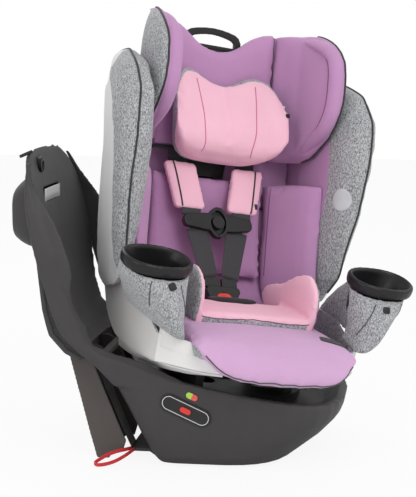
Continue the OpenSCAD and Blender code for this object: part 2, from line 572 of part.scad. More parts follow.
// ---------- cup holders ----------
cup_x = 211;
cup_y = -130;
cup_z = 186;
module cup_frame(side) seat_frame() translate([side * cup_x, cup_y, cup_z]) rotate([cup_tilt, 0, 0])
  children();
function oval(a, b, z, x = 0, y = 0, n = 2.3) = [for (p = plan(a, b, b, n, n, 28))
  [p[0] + x, p[1] + y, z]];
module cup(side) color([0.16, 0.16, 0.17]) cup_frame(side) difference() {
  loft([
    oval(cup_a - 37, cup_b - 23, -cup_depth, -13 * side), oval(cup_a - 29, cup_b - 14, 5 - cup_depth, -12
      * side),
    oval(cup_a - 13, cup_b - 5, -20, -2 * side), oval(cup_a - 2, cup_b - 1, -19), oval(cup_a, cup_b, -12),
    oval(cup_a, cup_b, -3), oval(cup_a - 3, cup_b - 3, 0)
  ]);
  loft([
    oval(cup_a - 39, cup_b - 25, 3 - cup_depth, -13 * side), oval(cup_a - 32, cup_b - 17, 9 - cup_depth,
      -12 * side),
    oval(cup_a - 16, cup_b - 9, -16, -2 * side), oval(cup_a - cup_wall, cup_b - cup_wall, -4),
    oval(cup_a - cup_wall + 3, cup_b - cup_wall + 3, cut)
  ]);
}
// Rows of a pod: height, inner face, outer face, front and rear
pod_rows = [
  [64, 156, 177, -189, -150], [74, 157, 194, -197, -80], [86, 158, 208, -202, 22],
    [100, 158, 220, -201, 14],
  [122, 156, 238, -196, -4], [144, 154, 256, -187, -26], [160, 153, 264, -180, -50],
    [170, 152, 266, -177, -62]
];
module cup_pod(side) color([0.58, 0.58, 0.59]) difference() {
  seat_frame() loft([for (r = pod_rows)
    oval((r[2] - r[1]) / 2, (r[4] - r[3]) / 2, r[0], side * (r[1] + r[2]) / 2, (r[3] + r[4]) / 2, 2.1)]);
  // the cup drops in from above; the pod ends under its ring
  cup_frame(side) loft([
    oval(cup_a - 36, cup_b - 22, -cup_depth - 1, -13 * side), oval(cup_a - 28, cup_b - 13, 4 - cup_depth,
      -12 * side),
    oval(cup_a - 12, cup_b - 4, -20.5, -2 * side), oval(cup_a + 30, cup_b + 30, -19.6),
      oval(cup_a + 70, cup_b + 90, 60)
  ]);
  // it wraps the shell's side
  seat_frame() translate([-shell_x - part_gap, -124, 0]) cube([2 * (shell_x + part_gap), 400, 300]);
}

// ---------- body insert and harness ----------
insert_wing = [[-104, pan_top + 4], [-112, 98], [-107, 138], [-84, 160], [-60, 166], [-24, 156],
  [20, 132], [70, 116], [86, 92], [70, pan_top + 4]];
module body_insert() color([0.95, 0.72, 0.8]) {
  seat_frame() difference() {
    translate([0, -52, pan_top + part_gap]) linear_extrude(20) offset(8, $fn = 24) offset(-8)
      square([230, 112], center = true);
    translate([-buckle_w / 2, -6, pan_top - cut]) cube([buckle_w, 60, 40]);
  }
  seat_frame() for (s = [-1, 1]) side_slab(smooth(insert_wing, 2), s * 109.5 - 7, s * 109.5 + 7);
}
buckle_w = 68;
harness_lean = 16;
// Along the harness: Z runs up it, -Y is forwards out of it, and the origin is where it leaves the back
module harness_frame() back_frame() translate([0, -24, 300]) rotate([-harness_lean, 0, 0]) children();
pad_x = 68;
pad_low = -107;
pad_high = -18;
clip_low = -140;
clip_high = -118;
buckle_z = -269;               // middle of the buckle, along the harness
tongue_z = buckle_z + 31.7;
module crotch_strap() color([0.15, 0.15, 0.16]) {
  difference() {
    harness_frame() translate([-web_w / 2, 1, buckle_z - 52]) cube([web_w, 9, 40 - part_gap]);
    seat_frame() translate([-base_w, -base_w, -table_h])
      cube([2 * base_w, 2 * base_w, table_h + pan_top - pan_sink + part_gap]);
  }
  seat_frame() translate([-46, -46, pan_top + 20 + 2 * part_gap]) cube([92, 38, 7]);
}
module buckle() color([0.12, 0.12, 0.13]) harness_frame() difference() {
  translate([0, 14, buckle_z]) rotate([90, 0, 0]) linear_extrude(22) hull() for (s = [-1, 1]) {
    translate([s * 25, 11]) circle(8, $fn = 32);
    translate([s * 18, -6]) circle(6, $fn = 32);
  }
  translate([0, 3, buckle_z - 1]) rotate([90, 0, 0]) cylinder(h = 20, r = 8 + run_gap, $fn = 48);
}
module buckle_button() color([0.85, 0.16, 0.14])
  harness_frame() translate([0, -2, buckle_z - 1]) rotate([90, 0, 0])
  cylinder(h = 9, r = 8, $fn = 48);
module buckle_tongues() color([0.14, 0.14, 0.15])
  harness_frame() for (s = [-1, 1]) translate([s * 17, 9, tongue_z])
  rotate([90, 0, 0]) linear_extrude(8) translate([-15, -12.4]) square([30, 18]);
module lower_straps() color([0.15, 0.15, 0.16])
  harness_frame() for (s = [-1, 1]) translate([0, 6.6, 0]) rotate([90, 0, 0])
  linear_extrude(web_t) polygon([for (p = [[34, tongue_z + 6], [4, tongue_z + 6],
      [17, clip_low - part_gap], [17 + web_w, clip_low - part_gap]]) [s * p[0], p[1]]]);
// Straps and grips between the shoulder pads and the chest clip
module upper_straps() color([0.15, 0.15, 0.16]) harness_frame() for (s = [-1, 1])
  translate([s * 48 - 24, 1, clip_high + part_gap]) cube([48, 9, pad_low - clip_high - 2 * part_gap]);
module shoulder_pad(side) color([0.95, 0.66, 0.75])
  harness_frame() translate([side * pad_x, 13, pad_low]) rotate([90, 0, 0])
  linear_extrude(13) hull() for (s = [-1, 1]) {
    translate([s * 23 - side * 15, 8]) circle(8, $fn = 24);
    translate([s * 24, pad_high - pad_low - 8]) circle(8, $fn = 24);
  }
clip_z = (clip_low + clip_high) / 2;
clip_r = 20;
clip_button_r = 15;
module clip_outline(side) intersection() {
  union() {
    circle(clip_r, $fn = 64);
    hull() {
      translate([side * 60, 0]) circle(8, $fn = 32);
      translate([side * 13, 0]) square([25, clip_high - clip_low], center = true);
    }
  }
  translate([side > 0 ? part_gap / 2 : -100, -50]) square([100 - part_gap / 2, 100]);
}
// The left half carries the plate that the button presses on; the right half closes over it
module chest_clip(side) color([0.13, 0.13, 0.14])
  harness_frame() translate([0, 9, clip_z]) rotate([90, 0, 0]) {
  linear_extrude(12) difference() {
    clip_outline(side);
    circle(clip_button_r + run_gap, $fn = 64);
  }
  if (side > 0) {
    linear_extrude(3.7) circle(clip_button_r - part_gap, $fn = 64);
    translate([0, -8, 0]) cube([clip_button_r + 2, 16, 3.7]);
  }
}
module clip_button() color([0.1, 0.1, 0.11])
  harness_frame() translate([0, 2.8, clip_z]) rotate([90, 0, 0])
  cylinder(h = 6.8, r = clip_button_r, $fn = 64);

// ---------- headrest ----------
rack_y = 35;
rack_step = 18;
module headrest_rack() color([0.3, 0.3, 0.31]) back_frame() difference() {
  union() {
    translate([-22, rack_y, 236]) cube([44, 3, 200]);
    side_slab(concat([for (q = smooth(spine, 3)) if (q[1] > 250 && q[1] < 440) q],
      [[rack_y + 2, 436], [rack_y + 2, 250]]), -4, 4);
  }
  side_slab(band(smooth(spine, 3), shell_t + 2 * part_gap), -shell_x, shell_x);
  for (h = [250 : rack_step : 430]) translate([-14, rack_y - cut, h]) cube([28, 1 + cut, 7]);
}
module headrest_frame() color([0.2, 0.2, 0.21]) back_frame() {
  translate([0, 22, 0]) rotate([90, 0, 0]) linear_extrude(5.4)
    polygon([[-40, head_low - 40], [40, head_low - 40], [46, head_low], [112, head_low + 20],
    [112, 488], [96, 500], [-96, 500], [-112, 488], [-112, head_low + 20], [-46, head_low]]);
  for (s = [-1, 1]) translate([s * 26 - 2.5, 16.6, head_low - 40]) cube([5, rack_y - 16.6 + 2, 36]);
  translate([-23, 21, head_low - 30]) cube([46, rack_y - 21 - part_gap, 12]);
}
pad_half = 118;
pad_crest = [[0, 497], [28, 502], [50, 514], [70, 528], [94, 538], [pad_half, 541]];
module headrest_pad() color([0.72, 0.53, 0.7])
  back_frame() translate([0, 16, 0]) rotate([90, 0, 0]) linear_extrude(27)
  polygon(concat(smooth([for (q = pad_crest) [q[0], q[1] - 531 + head_top]], 3),
    [[pad_half, head_low + 2], [-pad_half, head_low + 2]],
    reversed(smooth([for (q = pad_crest) [-q[0], q[1] - 531 + head_top]], 3))));
// Rows of a side wing: height, reach of its rim, and how far its rim and its rear corner round in
wing_rows = [
  [305, 45, 8, 6], [312, 80, 4, 3], [322, 97, 2, 1], [345, 134, 0, 0], [366, 153, 0, 0],
    [386, 167, 0, 0], [408, 174, 0, 0],
  [430, 176, 0, 0], [455, 175, 0, 0], [478, 169, 0, 1], [495, 156, 0, 3], [510, 140, 1, 7],
    [522, 122, 3, 12],
  [531, 104, 7, 16], [538, 80, 12, 19], [541, 56, 16, 20]
];
function wing_section(f, e, c) = let (o = head_x - e, i = head_x - wing_t) [
  [o - 6, 1 - f], [o, 12 - f], [o, 4 - min(100, f - 16)], [o - 2 - c / 3, -min(80, f - 22)],
  [head_x - 10 - c, -min(56, f - 30)], [150 - c, -min(20, f - 40)], [126 - c / 4, 7],
  [pad_half + part_gap, 9], [pad_half + part_gap, -12], [132 - c / 4, -min(30, f - 26)],
    [i - 3, -min(62, f - 20)],
  [i + 2, -min(100, f - 14)], [i + 6, 8 - f], [i + 12 - e / 2, -f]
];
function wing_z(h) = head_low + (h - 305) * (head_top - head_low) / 226;
module headrest_wing(side) color([0.6, 0.6, 0.61]) back_frame() loft([for (r = wing_rows)
  let (p = wing_section(r[1], r[2], r[3]))
  [for (v = side > 0 ? p : reversed(mirrored(p, -1))) [v[0], v[1], wing_z(r[0])]]]);
// Sections of the pillow across the head: its ends fold forwards
pillow_face = [[0, 0.6], [0.06, 0.92], [0.16, 1], [0.4, 0.9], [0.6, 0.7], [0.8, 0.48], [0.95, 0.32],
  [1, 0.22]];
function pillow_section(x) = let (a = abs(x),
    b = lookup(a, [[0, 16], [40, 16], [74, 20], [100, 50], [108, 70], [113, 90]]),
    t = lookup(a, [[0, 62], [40, 66], [72, 70], [100, 54], [108, 34], [113, 16]]),
    low = lookup(a, [[0, 284], [60, 286], [84, 292], [100, 304], [113, 330]]),
    high = lookup(a, [[0, 432], [25, 438], [50, 451], [66, 457], [84, 452], [100, 430], [113, 400]]))
  concat([[x, -b, low]], [for (q = pillow_face) [x, -b - t * q[1], low + (high - low) * q[0]]],
    [[x, -b, high]]);
module head_pillow() color([0.95, 0.72, 0.8]) back_frame()
  loft([for (x = [113, 108, 100, 88, 72, 56, 40, 20, 0, -20, -40, -56, -72, -88, -100, -108, -113])
    pillow_section(x)]);
module headrest_handle() color([0.12, 0.12, 0.13])
  back_frame() translate([0, 25, 0]) rotate([90, 0, 0]) linear_extrude(7) difference() {
  polygon(concat([[-58, 501], [58, 501]], smooth([[58, 520], [46, 534], [0, 541], [-46, 534],
    [-58, 520]], 3)));
  polygon(concat([[-44, 509], [44, 509]], smooth([[44, 518], [34, 524], [0, 529], [-34, 524],
    [-44, 518]], 3)));
}
// Black strips under the headrest, with the webbing that drops from them to the shoulder pads
module harness_yoke() color([0.13, 0.13, 0.14]) back_frame() for (s = [-1, 1]) {
  translate([s * 75 - 42, -15.6, head_low - 2.7]) cube([84, 24, 4.4]);
  translate([s * pad_x - web_w / 2, -15.6, head_low - 35]) cube([web_w, 3.2, 34]);
}

base_housing();
back_panel();
rear_cover();
rear_leg();
base_plate();
grip_pads();
slide_ring();
pivot_hub();
hub_cap();
control_bezel();
lock_indicator();
lock_button();
lock_plunger();
plunger_spring();
strap_hook();
strap_cap();
anchor_webbing();
pull_loop();
turntable();
recline_rails();
recline_runners();
recline_lever();
seat_shell();
shell_back_cover();
pan_foam();
back_foam();
back_liner();
shell_dish(1);  // shell_dish_left
shell_dish(-1);  // shell_dish_right
seat_cushion();
back_pad();
inner_bolster(1);  // inner_bolster_left
inner_bolster(-1);  // inner_bolster_right
side_bolster(1);  // side_bolster_left
side_bolster(-1);  // side_bolster_right
cup_pod(1);  // cup_pod_left
cup_pod(-1);  // cup_pod_right
cup(1);  // cup_left
cup(-1);  // cup_right
body_insert();
crotch_strap();
buckle();
buckle_button();
buckle_tongues();
lower_straps();
headrest_rack();
headrest_frame();
headrest_pad();
headrest_wing(1);  // headrest_wing_left
headrest_wing(-1);  // headrest_wing_right
head_pillow();
headrest_handle();
harness_yoke();
shoulder_pad(1);  // shoulder_pad_left
shoulder_pad(-1);  // shoulder_pad_right
upper_straps();
chest_clip(1);  // chest_clip_left
chest_clip(-1);  // chest_clip_right
clip_button();
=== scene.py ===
"""Looks of the convertible car seat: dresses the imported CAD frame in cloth, plastic, webbing and steel."""
import math

import bpy
import numpy as np
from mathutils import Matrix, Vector
from mathutils.bvhtree import BVHTree


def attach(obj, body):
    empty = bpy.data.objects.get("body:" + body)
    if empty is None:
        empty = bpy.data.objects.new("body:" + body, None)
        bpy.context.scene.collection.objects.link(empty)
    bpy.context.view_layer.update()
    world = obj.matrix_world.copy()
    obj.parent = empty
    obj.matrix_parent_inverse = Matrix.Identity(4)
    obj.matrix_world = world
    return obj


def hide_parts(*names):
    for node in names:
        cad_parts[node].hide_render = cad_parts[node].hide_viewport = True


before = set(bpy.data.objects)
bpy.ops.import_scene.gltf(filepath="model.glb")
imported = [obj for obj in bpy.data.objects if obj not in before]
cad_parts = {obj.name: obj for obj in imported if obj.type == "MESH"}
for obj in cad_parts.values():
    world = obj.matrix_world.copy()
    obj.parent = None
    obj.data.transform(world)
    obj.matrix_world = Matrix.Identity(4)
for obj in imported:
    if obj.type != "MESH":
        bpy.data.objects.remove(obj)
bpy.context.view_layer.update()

# --------
# Camera. It stands to the left of the base and a little above it, as the photograph was taken.
# The image points are the pixels of the photograph that things are set by.
# --------
IMAGE_W, IMAGE_H = 416, 497
POINTS = {
    "left_edge": (12.5, 225), "right_edge": (412.5, 285), "top_edge": (153, 6), "bottom_edge": (262, 468),
    "handle": (212, 37.9), "head_seam": (274.1, 38), "pillow_tab": (288.2, 116.3), "strap_cap": (26.1, 154),
    "panel_window": (51.2, 192.3), "round_badge": (341, 200), "pad_tab": (256, 207), "chest_clip": (218, 224),
    "left_cup": (156.7, 260.8), "right_cup": (379.8, 283.5), "left_pod_tab": (172.5, 287), "right_pod_tab": (386.5, 310.5),
    "buckle_button": (224.4, 297.4), "front_label": (334, 342), "lock_indicator": (191.9, 396.6), "lock_button": (186, 411),
}
CAMERA_AZIMUTH, CAMERA_ELEVATION = math.radians(-81.4969), math.radians(8.1758)
CAMERA_DISTANCE = 2.5868
CAMERA_TARGET = Vector((-0.006763, 0.025103, 0.338419))
LENS, SENSOR = 108.33, 36.0

camera_data = bpy.data.cameras.new("camera")
camera_data.lens, camera_data.sensor_width, camera_data.sensor_fit = LENS, SENSOR, "AUTO"
camera_data.clip_end = 50
camera = bpy.data.objects.new("camera", camera_data)
bpy.context.scene.collection.objects.link(camera)
backwards = Vector((math.sin(CAMERA_AZIMUTH) * math.cos(CAMERA_ELEVATION),
                    -math.cos(CAMERA_AZIMUTH) * math.cos(CAMERA_ELEVATION), math.sin(CAMERA_ELEVATION)))
camera.location = CAMERA_TARGET + CAMERA_DISTANCE * backwards
camera.rotation_euler = backwards.to_track_quat("Z", "Y").to_euler()
bpy.context.scene.camera = camera
bpy.context.view_layer.update()


def sight_line(point):
    """Where the camera is, and the direction in which it sees a pixel of the photograph."""
    long_side = max(IMAGE_W, IMAGE_H)
    x, y = point
    shift_x, shift_y = camera_data.shift_x, camera_data.shift_y
    ray = Vector((x - IMAGE_W / 2 + shift_x * long_side, IMAGE_H / 2 - y + shift_y * long_side,
                  -long_side * camera_data.lens / camera_data.sensor_width))
    place = camera.matrix_world
    return place.translation.copy(), (place.to_3x3() @ ray).normalized()


def surface_of(*pieces):
    """A tree of the finished faces of these pieces, modifiers included, for rays and nearest points."""
    bpy.context.view_layer.update()
    graph = bpy.context.evaluated_depsgraph_get()
    verts, faces = [], []
    for piece in pieces:
        mesh = piece.evaluated_get(graph).to_mesh()
        faces += [[len(verts) + i for i in face.vertices] for face in mesh.polygons]
        verts += [piece.matrix_world @ v.co for v in mesh.vertices]
        piece.evaluated_get(graph).to_mesh_clear()
    return BVHTree.FromPolygons(verts, faces)


def in_view(point, *pieces):
    """(place, outward direction) where the camera sees a pixel on these pieces, or the nearest to its ray."""
    eye, ray = sight_line(point)
    tree = surface_of(*pieces)
    place, normal, _, _ = tree.ray_cast(eye, ray)
    if place is None:
        reach = [eye + ray * (CAMERA_DISTANCE - 0.4 + 0.01 * k) for k in range(80)]
        place, normal, _, _ = min((tree.find_nearest(p) for p in reach), key=lambda hit: hit[3])
    if normal.dot(ray) > 0:
        normal = -normal
    return place, normal


# --------
# Frames. The swivel axis leans forwards, the seat is turned on it, and the back and the harness lean
# from the seat. Shapes below are worked out in these frames, in millimetres, and moved to the base's.
# --------
SWIVEL_HEIGHT, SWIVEL_LEAN, SEAT_TURN, BACK_LEAN, HARNESS_LEAN = 155, 10.9, -56.6, 14.7, 16


def about_x(degrees):
    """Matrix that turns by an angle about X."""
    a = math.radians(degrees)
    return np.array([[1, 0, 0], [0, math.cos(a), -math.sin(a)], [0, math.sin(a), math.cos(a)]])


def about_z(degrees):
    """Matrix that turns by an angle about Z."""
    a = math.radians(degrees)
    return np.array([[math.cos(a), -math.sin(a), 0], [math.sin(a), math.cos(a), 0], [0, 0, 1]])


class Place:
    """A frame within the object: turn is its axes, and origin is in millimetres of the base's frame."""

    def __init__(self, origin, turn):
        self.origin, self.turn = np.array(origin, float), turn

    def out(self, points):
        """Points of this frame, in millimetres, as points of the base's frame, in metres."""
        return (self.origin + np.asarray(points, float) @ self.turn.T) / 1000

    def into(self, points):
        """Points of the base's frame, in metres, as points of this frame, in millimetres."""
        return (np.asarray(points, float) * 1000 - self.origin) @ self.turn

    def within(self, origin, turn):
        """A frame that stands in this one."""
        return Place(self.origin + self.turn @ np.array(origin, float), self.turn @ turn)


base_place = Place((0, 0, 0), np.eye(3))
table_place = Place((0, 5, SWIVEL_HEIGHT), about_x(SWIVEL_LEAN))
seat_place = table_place.within((0, 0, 0), about_z(SEAT_TURN))
back_place = seat_place.within((0, 115.5, 24.5), about_x(-BACK_LEAN))
harness_place = back_place.within((0, -24, 300), about_x(-HARNESS_LEAN))
SIDES = ("left", 1), ("right", -1)  # the child's left and right, with the sign of X there


# --------
# Materials. A finish is one material while its nodes are made, and a shade is one value or colour in it.
# --------
class Shade:
    """A socket of a material's nodes. Sums of shades and numbers add the Math nodes that work them out."""

    def __init__(self, finish, socket):
        self.finish, self.socket = finish, socket

    def math(self, operation, *others):
        return self.finish.add("Math", {"operation": operation}, dict(enumerate((self, *others))))

    def __add__(self, other):
        return self.math("ADD", other)

    def __sub__(self, other):
        return self.math("SUBTRACT", other)

    def __mul__(self, other):
        return self.math("MULTIPLY", other)

    __radd__, __rmul__ = __add__, __mul__

    def __rsub__(self, other):
        return self * -1 + other

    def sine(self):
        return self.math("SINE")

    def step(self, low, high):
        """0 below low and 1 above high, with a smooth rise between."""
        return self.finish.add("MapRange", {"interpolation_type": "SMOOTHSTEP"},
                               {"Value": self, "From Min": low, "From Max": high})


class Finish:
    """A material being made. add is the one method that gives it nodes."""

    def __init__(self, name, roughness=0.6, metallic=0.0, **fixed):
        self.material = bpy.data.materials.new(name)
        self.material.use_nodes = True
        self.tree = self.material.node_tree
        self.surface = self.tree.nodes["Principled BSDF"]
        for label, value in {"Roughness": roughness, "Metallic": metallic, **fixed}.items():
            self.surface.inputs[label].default_value = value

    def add(self, kind, settings=None, sockets=None, output=0):
        """A node of that kind: its settings first, then its sockets' values or links. Gives one output."""
        node = self.tree.nodes.new("ShaderNode" + kind)
        for key, value in (settings or {}).items():
            if key == "stops":
                for spot, (place, colour) in zip(node.color_ramp.elements, value):
                    spot.position, spot.color = place, (*colour, 1)
            else:
                setattr(node, key, value)
        for key, value in (sockets or {}).items():
            if isinstance(value, Shade):
                self.tree.links.new(value.socket, node.inputs[key])
            else:
                node.inputs[key].default_value = value
        return Shade(self, node.outputs[output])

    def feed(self, **links):
        """Links shades to the surface: colour, roughness or normal."""
        names = {"colour": "Base Color", "roughness": "Roughness", "normal": "Normal"}
        for key, shade in links.items():
            self.tree.links.new(shade.socket, self.surface.inputs[names[key]])

    def spot(self):
        return self.add("TexCoord", output="Object")

    def mix(self, share, first, second):
        """Colour that goes from first to second as share goes from 0 to 1."""
        sockets = {0: share, 6: first if isinstance(first, Shade) else (*first, 1),
                   7: second if isinstance(second, Shade) else (*second, 1)}
        return self.add("Mix", {"data_type": "RGBA"}, sockets, output=2)

    def noise(self, size, detail=2.0, rough=0.5, where=None):
        """Noise from 0 to 1 whose lumps are about size millimetres across."""
        return self.add("TexNoise", None, {"Vector": where or self.spot(), "Scale": 1000 / size,
                                           "Detail": detail, "Roughness": rough})

    def relief(self, height, depth, strength=1.0):
        """Normal for a height from 0 to 1 that stands depth millimetres high."""
        return self.add("Bump", None, {"Height": height, "Distance": depth / 1000, "Strength": strength})

    def mark(self, name):
        """The piece's own painted values of that name, from 0 to 1."""
        return self.add("Attribute", {"attribute_name": name}, output="Fac")


def moulded_plastic(name, colour, roughness=0.55, grain=0.9, depth=0.05, **fixed):
    """Moulded plastic: eroded grain in the surface, faint mottling and rubbed patches that shine a little."""
    finish = Finish(name, roughness, **{"Specular IOR Level": 0.32, **fixed})
    mottle = finish.noise(40, 3)
    deep = tuple(0.86 * c for c in colour)
    pale = tuple(min(1, 1.12 * c + 0.004) for c in colour)
    grains = finish.noise(grain, 2)
    finish.feed(colour=finish.mix(mottle * 0.7 + grains * 0.3, deep, pale),
                roughness=mottle * 0.16 + grains * 0.08 + (roughness - 0.12),
                normal=finish.relief(grains, depth, 0.6))
    return finish.material


# --------
# Pieces. New mesh objects, and CAD nodes remade as one smooth skin.
# --------
def give(piece, *materials):
    """Replaces what the piece is made of."""
    piece.data.materials.clear()
    for material in materials:
        piece.data.materials.append(material)
    return piece


def smooth_faces(piece):
    piece.data.polygons.foreach_set("use_smooth", np.ones(len(piece.data.polygons), bool))
    piece.data.update()
    return piece


def new_piece(name, verts, faces):
    """A smooth-shaded mesh object at the origin, from arrays of places in metres and of faces."""
    mesh = bpy.data.meshes.new(name)
    mesh.from_pydata(np.asarray(verts).tolist(), [], [list(face) for face in faces])
    piece = bpy.data.objects.new(name, mesh)
    bpy.context.scene.collection.objects.link(piece)
    return smooth_faces(piece)


def applied(piece):
    """The piece with its modifiers worked into its mesh."""
    graph = bpy.context.evaluated_depsgraph_get()
    mesh = bpy.data.meshes.new_from_object(piece.evaluated_get(graph))
    piece.modifiers.clear()
    piece.data = mesh
    return smooth_faces(piece)


def merged_copy(name, *nodes):
    """A new object with the welded faces of some CAD nodes."""
    verts, faces = [], []
    for node in nodes:
        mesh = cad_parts[node].data
        faces += [[len(verts) + i for i in face.vertices] for face in mesh.polygons]
        verts += [v.co[:] for v in mesh.vertices]
    piece = new_piece(name, verts, faces)
    weld = piece.modifiers.new("weld", "WELD")
    weld.merge_threshold = 0.00002
    return applied(piece)


def remade(name, nodes, voxel, passes):
    """CAD nodes as one closed skin: remeshed in voxel millimetres, then each point drawn towards its
    neighbours so many times, which rounds the edges and the facets off."""
    piece = merged_copy(name, *nodes)
    remesh = piece.modifiers.new("remesh", "REMESH")
    remesh.mode, remesh.voxel_size = "VOXEL", voxel / 1000
    ease = piece.modifiers.new("ease", "SMOOTH")
    ease.factor, ease.iterations = 0.5, passes
    return applied(piece)


def settle(piece, body, slot, material, *nodes):
    """Hangs a finished piece on its body, gives it its material and hides the CAD nodes that it stands for.
    """
    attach(piece, body)
    if nodes:
        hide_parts(*nodes)
    return give(piece, material)


def rounded(name, node, voxel, passes, body, slot, material):
    """A hard moulding, remade from its CAD node."""
    return settle(remade(name, [node], voxel, passes), body, slot, material, node)


# --------
# Base. Grey-black glass-filled plastic mouldings with a fine spark-eroded grain: the bowl with its two side
# arms, the back panel, the humped cover behind it, the floor plate and the browner ribbed rear leg.
# --------
base_plastic = moulded_plastic("base_plastic", (0.050, 0.047, 0.049), 0.52)
leg_plastic = moulded_plastic("leg_plastic", (0.088, 0.076, 0.072), 0.6)
rounded("base_moulding", "base_housing", 3.6, 7, "base", "base_plastic", base_plastic)
rounded("back_moulding", "back_panel", 2.6, 3, "base", "base_plastic", base_plastic)
rounded("reel_cover", "rear_cover", 3.0, 8, "base", "base_plastic", base_plastic)
rounded("leg_moulding", "rear_leg", 2.0, 2, "base", "rear_plastic", leg_plastic)
give(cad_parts["base_plate"], base_plastic)


# --------
# Small parts of the base. Satin black hook and strap cap, the lock's control plate with its pale printed
# outline, the red lock button that is pressed in, and the lens that shows green and red.
# --------
PLATE_LENGTH, PLATE_WIDTH, PLATE_BORDER, PLATE_SLOPE = 88, 29, 3.4, 24
side_place = Place((-196, 34, 98), about_x(PLATE_SLOPE) @ np.array([[0, 0, 1], [1, 0, 0], [0, 1, 0]]))


def eased(points, steps=8, closed=False):
    """Smooth line through points: between neighbours it is the cubic whose slopes at both ends are half
    the step from the point before to the point after."""
    p = np.asarray(points, float)
    if closed:
        before, after, last = np.roll(p, 1, 0), np.roll(p, -1, 0), np.roll(p, -2, 0)
    else:
        before = np.vstack([p[:1], p[:-1]])[:-1]
        after = p[1:]
        last = np.vstack([p[2:], p[-1:]])
        p = p[:-1]
    t = np.linspace(0, 1, steps, endpoint=False)[None, :, None]
    a, b, c, d = (q[:, None, :] for q in (before, p, after, last))
    line = 0.5 * (2 * b + (c - a) * t + (2 * a - 5 * b + 4 * c - d) * t ** 2
                  + (3 * b - a - 3 * c + d) * t ** 3)
    line = line.reshape(-1, p.shape[1])
    return line if closed else np.vstack([line, np.asarray(points, float)[-1:]])


def unit(v):
    return v / np.maximum(np.linalg.norm(v, axis=-1, keepdims=True), 1e-9)


def grid_faces(rows, columns, closed_rows=False, capped=True):
    """Quads over a grid whose columns run round a ring, with the end rings closed by one face each."""
    i, j = np.meshgrid(np.arange(rows if closed_rows else rows - 1), np.arange(columns), indexing="ij")
    i, j = i.ravel(), j.ravel()
    k, m = (i + 1) % rows, (j + 1) % columns
    faces = np.stack([i * columns + j, i * columns + m, k * columns + m, k * columns + j], 1).tolist()
    if capped and not closed_rows:
        faces += [list(range(columns))[::-1], [(rows - 1) * columns + q for q in range(columns)]]
    return faces


def tube(name, centre, normal, wide, high=None, closed=False, sides=10):
    """Tube along a line of places in metres: each ring is the ellipse centre + wide cos(a) across + high
    sin(a) normal, where across is square to the line and to the normal. Radii are in millimetres."""
    step = np.roll(centre, -1, 0) - np.roll(centre, 1, 0) if closed else np.gradient(centre, axis=0)
    along = unit(step)
    normal = unit(normal - along * np.sum(normal * along, 1, keepdims=True))
    across = np.cross(along, normal)
    high = wide if high is None else high
    a = np.linspace(0, 2 * math.pi, sides, endpoint=False)[None, :, None]
    rings = centre[:, None] + (wide * np.cos(a) * across[:, None]
                               + high * np.sin(a) * normal[:, None]) / 1000
    return new_piece(name, rings.reshape(-1, 3), grid_faces(len(centre), sides, closed))


black_plastic = moulded_plastic("black_plastic", (0.014, 0.013, 0.014), 0.42)
plate_plastic = moulded_plastic("plate_plastic", (0.022, 0.021, 0.022), 0.4)
print_paint = moulded_plastic("print_paint", (0.62, 0.62, 0.62), 0.5, depth=0.01)
red_plastic = moulded_plastic("red_plastic", (0.76, 0.05, 0.035), 0.32, depth=0.02)
rubber = moulded_plastic("rubber", (0.03, 0.03, 0.03), 0.8, 2.0, 0.15)
acetal = moulded_plastic("acetal", (0.7, 0.7, 0.68), 0.4, depth=0.01)


def lens_plastic():
    """Clear lens over a two-colour flag: green on one half and red on the other, along the plate."""
    finish = Finish("lens_plastic", 0.18, **{"Coat Weight": 0.6})
    middle = side_place.out([(0, 26, 0)])[0]
    y = finish.add("SeparateXYZ", None, {"Vector": finish.spot()}, output=1)
    z = finish.add("SeparateXYZ", None, {"Vector": finish.spot()}, output=2)
    slope = math.radians(PLATE_SLOPE)
    along = (y - float(middle[1])) * math.cos(slope) + (z - float(middle[2])) * math.sin(slope)
    share = along.step(-0.0004, 0.0004)
    grain = finish.noise(3, 1)
    green = finish.mix(grain, (0.36, 0.62, 0.04), (0.46, 0.74, 0.08))
    red = finish.mix(grain, (0.70, 0.05, 0.03), (0.85, 0.12, 0.08))
    finish.feed(colour=finish.mix(share, red, green), roughness=grain * 0.06 + 0.15)
    return finish.material


give(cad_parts["control_bezel"], plate_plastic)
give(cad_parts["lock_button"], red_plastic)
give(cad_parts["lock_indicator"], lens_plastic())
give(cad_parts["grip_pads"], rubber)
give(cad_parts["slide_ring"], acetal)
rounded("hook", "strap_hook", 0.9, 3, "base", "black_plastic", black_plastic)
rounded("cap_disc", "strap_cap", 0.9, 3, "base", "black_plastic", black_plastic)

# The plate's printed line runs round a stadium, a border's width inside the plate's edge
STEPS, PLATE_FACE = 72, -0.9
turn = np.linspace(0, 2 * math.pi, STEPS, endpoint=False)
reach, radius = (PLATE_LENGTH - PLATE_WIDTH) / 2, PLATE_WIDTH / 2 - PLATE_BORDER
outline = np.stack([np.sign(np.cos(turn)) * reach * (np.abs(np.cos(turn)) > 1e-6) + radius * np.cos(turn),
                    radius * np.sin(turn), np.full(STEPS, PLATE_FACE)], 1)
plate_line = tube("plate_line", side_place.out(outline), np.tile(-side_place.turn[:, 2], (STEPS, 1)),
                  0.7, 0.25, True)
settle(plate_line, "base", "bezel", print_paint)


